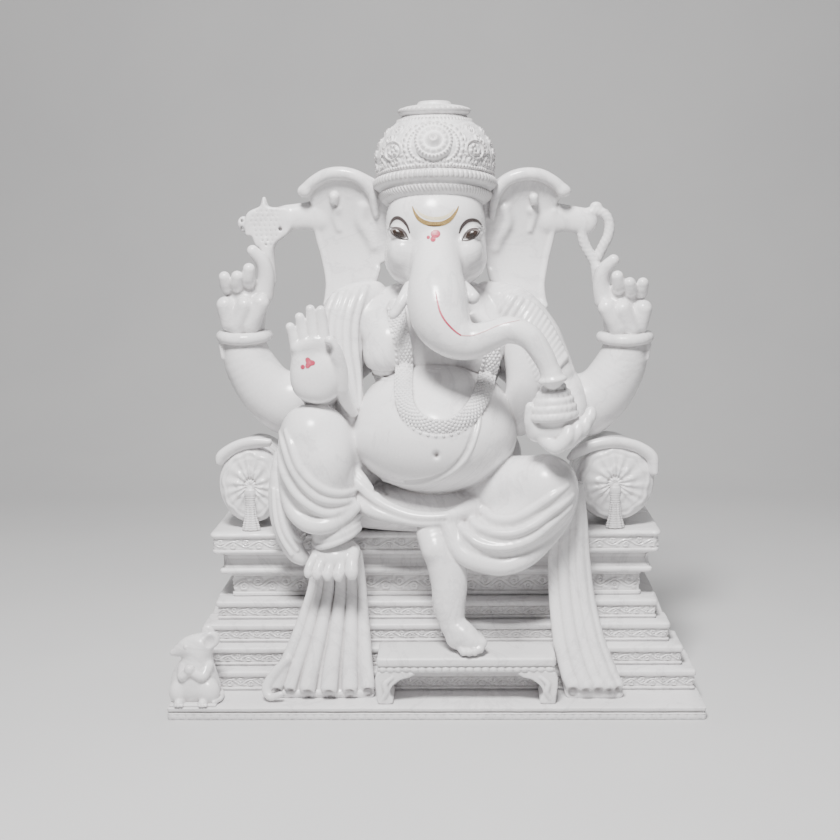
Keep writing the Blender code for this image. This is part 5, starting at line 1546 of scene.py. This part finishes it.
def marble(name, tint, shine, tool_marks):
    """White marble: soft clouds, faint cool veins, crystal grain, and painted shade that darkens the
    hollows.
    """
    made, t = new_material(name)
    shader, links = t["shader"], t["links"]
    clouds = t["ramp"](t["noise"](7.0, 5.0, 0.6, 0.6), (0.3, tint[0]), (0.72, tint[1]))
    veins = t["noise"](5.0, 9.0, 0.62, 2.4)
    line = t["ramp"](veins, (0.47, (1.0, 1.0, 1.0)), (0.498, tint[2]), (0.522, (1.0, 1.0, 1.0)))
    colour = t["blend"]("MULTIPLY", 0.55, clouds, line)
    speck = t["ramp"](t["noise"](420.0, 2.0, 0.5), (0.34, (0.93, 0.93, 0.935)),
                      (0.6, (1.0, 1.0, 1.0)))
    colour = t["blend"]("MULTIPLY", 0.6, colour, speck)
    # Painted shade: concave spots, found by pointiness, are darkened towards tint[3], standing in for
    # the shade that falls in creases and hollows.
    shape = t["nodes"].new("ShaderNodeNewGeometry")
    hollow = t["ramp"](shape.outputs["Pointiness"], (0.43, tint[3]), (0.497, (1.0, 1.0, 1.0)),
                       (0.6, (1.0, 1.0, 1.0)))
    colour = t["blend"]("MULTIPLY", 0.75, colour, hollow)
    links.new(colour, shader.inputs["Base Color"])
    rough = t["spread"](t["noise"](38.0, 4.0, 0.6), 0.3, 0.7, shine - 0.05, shine + 0.08)
    links.new(rough, shader.inputs["Roughness"])
    shader.inputs["Subsurface Weight"].default_value = 0.08
    shader.inputs["Subsurface Radius"].default_value = (1.0, 0.92, 0.85)
    shader.inputs["Subsurface Scale"].default_value = 0.004
    shader.inputs["Specular IOR Level"].default_value = 0.5
    shader.inputs["IOR"].default_value = 1.5
    t["bumps"]((t["noise"](26.0, 3.0, 0.5), 0.1, 0.001),
               (t["noise"](320.0, 3.0, 0.6), tool_marks, 0.00025))
    return made


def painted(name, colours, rough, metal, scale, relief):
    """Enamel paint or gilding on stone, uneven in tone and a little worn at the grain."""
    made, t = new_material(name)
    shader = t["shader"]
    tone = t["ramp"](t["noise"](scale, 5.0, 0.6, 0.4), *zip((0.3, 0.55, 0.78), colours))
    t["links"].new(tone, shader.inputs["Base Color"])
    t["links"].new(t["spread"](t["noise"](scale * 0.6, 3.0), 0.3, 0.7, rough - 0.06, rough + 0.1),
                   shader.inputs["Roughness"])
    shader.inputs["Metallic"].default_value = metal
    t["bumps"]((t["noise"](scale * 2.0, 3.0, 0.6), relief, 0.00015),)
    return made


# Each tint holds two cloud tones, the vein tone, and last the painted shade colour laid into the
# hollows.
WHITE = ((0.74, 0.73, 0.735), (0.83, 0.82, 0.825), (0.78, 0.775, 0.785), (0.48, 0.45, 0.44))
CHALK = ((0.7, 0.69, 0.695), (0.8, 0.79, 0.795), (0.76, 0.755, 0.76), (0.34, 0.315, 0.305))
MARBLE = {"polished_marble": marble("polished_marble", WHITE, 0.21, 0.08),
          "carved_marble": marble("carved_marble", CHALK, 0.4, 0.22)}
PAINT = {
    "black": painted("paint_black", ((0.014, 0.01, 0.009), (0.024, 0.018, 0.016),
                                     (0.045, 0.036, 0.032)), 0.3, 0.0, 900.0, 0.15),
    "brown": painted("paint_brown", ((0.045, 0.036, 0.036), (0.07, 0.057, 0.056),
                                     (0.11, 0.092, 0.09)), 0.4, 0.0, 900.0, 0.15),
    "pale_gold": painted("paint_pale_gold", ((0.66, 0.57, 0.36), (0.75, 0.67, 0.48),
                                             (0.82, 0.76, 0.62)), 0.36, 0.1, 600.0, 0.15),
    "umber": painted("paint_umber", ((0.05, 0.03, 0.012), (0.09, 0.055, 0.022),
                                     (0.16, 0.1, 0.045)), 0.4, 0.0, 800.0, 0.15),
    "gold": painted("paint_gold", ((0.24, 0.155, 0.05), (0.35, 0.24, 0.095), (0.5, 0.38, 0.19)),
                    0.34, 0.2, 600.0, 0.2),
    "red": painted("paint_red", ((0.3, 0.02, 0.055), (0.44, 0.045, 0.09), (0.56, 0.15, 0.19)),
                   0.38, 0.0, 700.0, 0.15),
    "faded_red": painted("paint_faded_red", ((0.5, 0.2, 0.22), (0.62, 0.34, 0.35),
                                             (0.74, 0.56, 0.56)), 0.4, 0.0, 700.0, 0.1),
    "iris": painted("paint_iris", ((0.02, 0.013, 0.011), (0.038, 0.026, 0.021),
                                   (0.07, 0.052, 0.042)), 0.22, 0.0, 700.0, 0.05),
    "sclera": painted("paint_sclera", ((0.17, 0.155, 0.15), (0.24, 0.22, 0.215), (0.33, 0.31, 0.3)),
                      0.2, 0.0, 300.0, 0.05),
}

# ------------------------------------------------------------------ build
make_throne()
make_crown()
make_bolsters()
make_mouse()
head, trunk = make_head(), make_trunk()
chest, belly, garland, thread, lap, shawls = make_body()
front_hands = make_front_hands()
figure = [head, trunk, *make_ears(), *make_tusks(), chest, belly, garland, thread, lap, *shawls,
          *make_right_leg(), *make_left_leg(), *make_drapes(), *make_rear(-1), *make_rear(1),
          *make_attributes(), *front_hands, *make_stool_legs()]
carve(figure, FIELD_LOW, FIELD_HIGH, VOXEL)
garland_beads(garland)
paint_face(head, trunk)
paint_palm(front_hands[1])


# ------------------------------------------------------------------ floor, light and camera
def make_sweep():
    """A pale floor that curves up behind the object."""
    profile = [(-3.0, 0.0), (0.9, 0.0)]
    profile += [(0.9 + 0.7 * math.sin(a), 0.7 - 0.7 * math.cos(a))
                for a in np.linspace(0.05, math.pi / 2, 24)]
    profile.append((1.6, 4.0))
    points = np.array([(x, y, z - 0.0002) for y, z in profile for x in (-4.0, 4.0)])
    mesh = build_mesh("floor_sweep", points, grid_quads(len(profile), 2, False))
    sweep = bpy.data.objects.new("floor_sweep", mesh)
    bpy.context.scene.collection.objects.link(sweep)
    made, t = new_material("floor_paper")
    tone = t["ramp"](t["noise"](3.0, 3.0), (0.3, (0.54, 0.54, 0.545)), (0.7, (0.57, 0.57, 0.57)))
    t["links"].new(tone, t["shader"].inputs["Base Color"])
    t["shader"].inputs["Roughness"].default_value = 0.9
    t["bumps"]((t["noise"](240.0, 2.0), 0.05, 0.0004),)
    mesh.materials.append(made)


def soft_light(name, at, aim, energy, size, colour):
    """A square area light that faces its aim."""
    data = bpy.data.lights.new(name, "AREA")
    data.energy, data.size, data.color = energy, size, colour
    lamp = bpy.data.objects.new(name, data)
    lamp.location = at
    lamp.rotation_euler = (Vector(aim) - Vector(at)).to_track_quat("-Z", "Y").to_euler()
    bpy.context.scene.collection.objects.link(lamp)


for old in [o for o in bpy.data.objects if o.name in ("Cube", "Light", "Camera")]:
    bpy.data.objects.remove(old, do_unlink=True)
make_sweep()
soft_light("key", (-0.16, -1.02, 1.7), (0, 0, 0.25), 84.0, 0.42, (1.0, 0.985, 0.975))
soft_light("fill", (1.3, -1.3, 0.8), (0, 0, 0.28), 2.5, 0.8, (0.98, 0.98, 1.0))
soft_light("top", (0.15, 0.2, 1.8), (0, 0, 0.35), 5.0, 0.7, (1.0, 1.0, 1.0))
world = bpy.data.worlds.new("studio")
bpy.context.scene.world = world
world.use_nodes = True
world.node_tree.nodes["Background"].inputs["Color"].default_value = (0.84, 0.83, 0.84, 1.0)
world.node_tree.nodes["Background"].inputs["Strength"].default_value = 0.08

back = Vector((math.sin(CAMERA_TURN) * math.cos(CAMERA_DOWN),
               -math.cos(CAMERA_TURN) * math.cos(CAMERA_DOWN), math.sin(CAMERA_DOWN)))
level = Vector((math.cos(CAMERA_TURN), math.sin(CAMERA_TURN), 0.0))
upright = back.cross(level)
camera = bpy.data.objects.new("camera", bpy.data.cameras.new("camera"))
bpy.context.scene.collection.objects.link(camera)
camera.data.lens = CAMERA_LENS
camera.data.sensor_width = CAMERA_SENSOR
camera.data.clip_start = 0.05
axes = Matrix((level * math.cos(CAMERA_ROLL) + upright * math.sin(CAMERA_ROLL),
               upright * math.cos(CAMERA_ROLL) - level * math.sin(CAMERA_ROLL), back)).transposed()
camera.matrix_world = Matrix.Translation(CAMERA_AT) @ axes.to_4x4()
bpy.context.scene.camera = camera
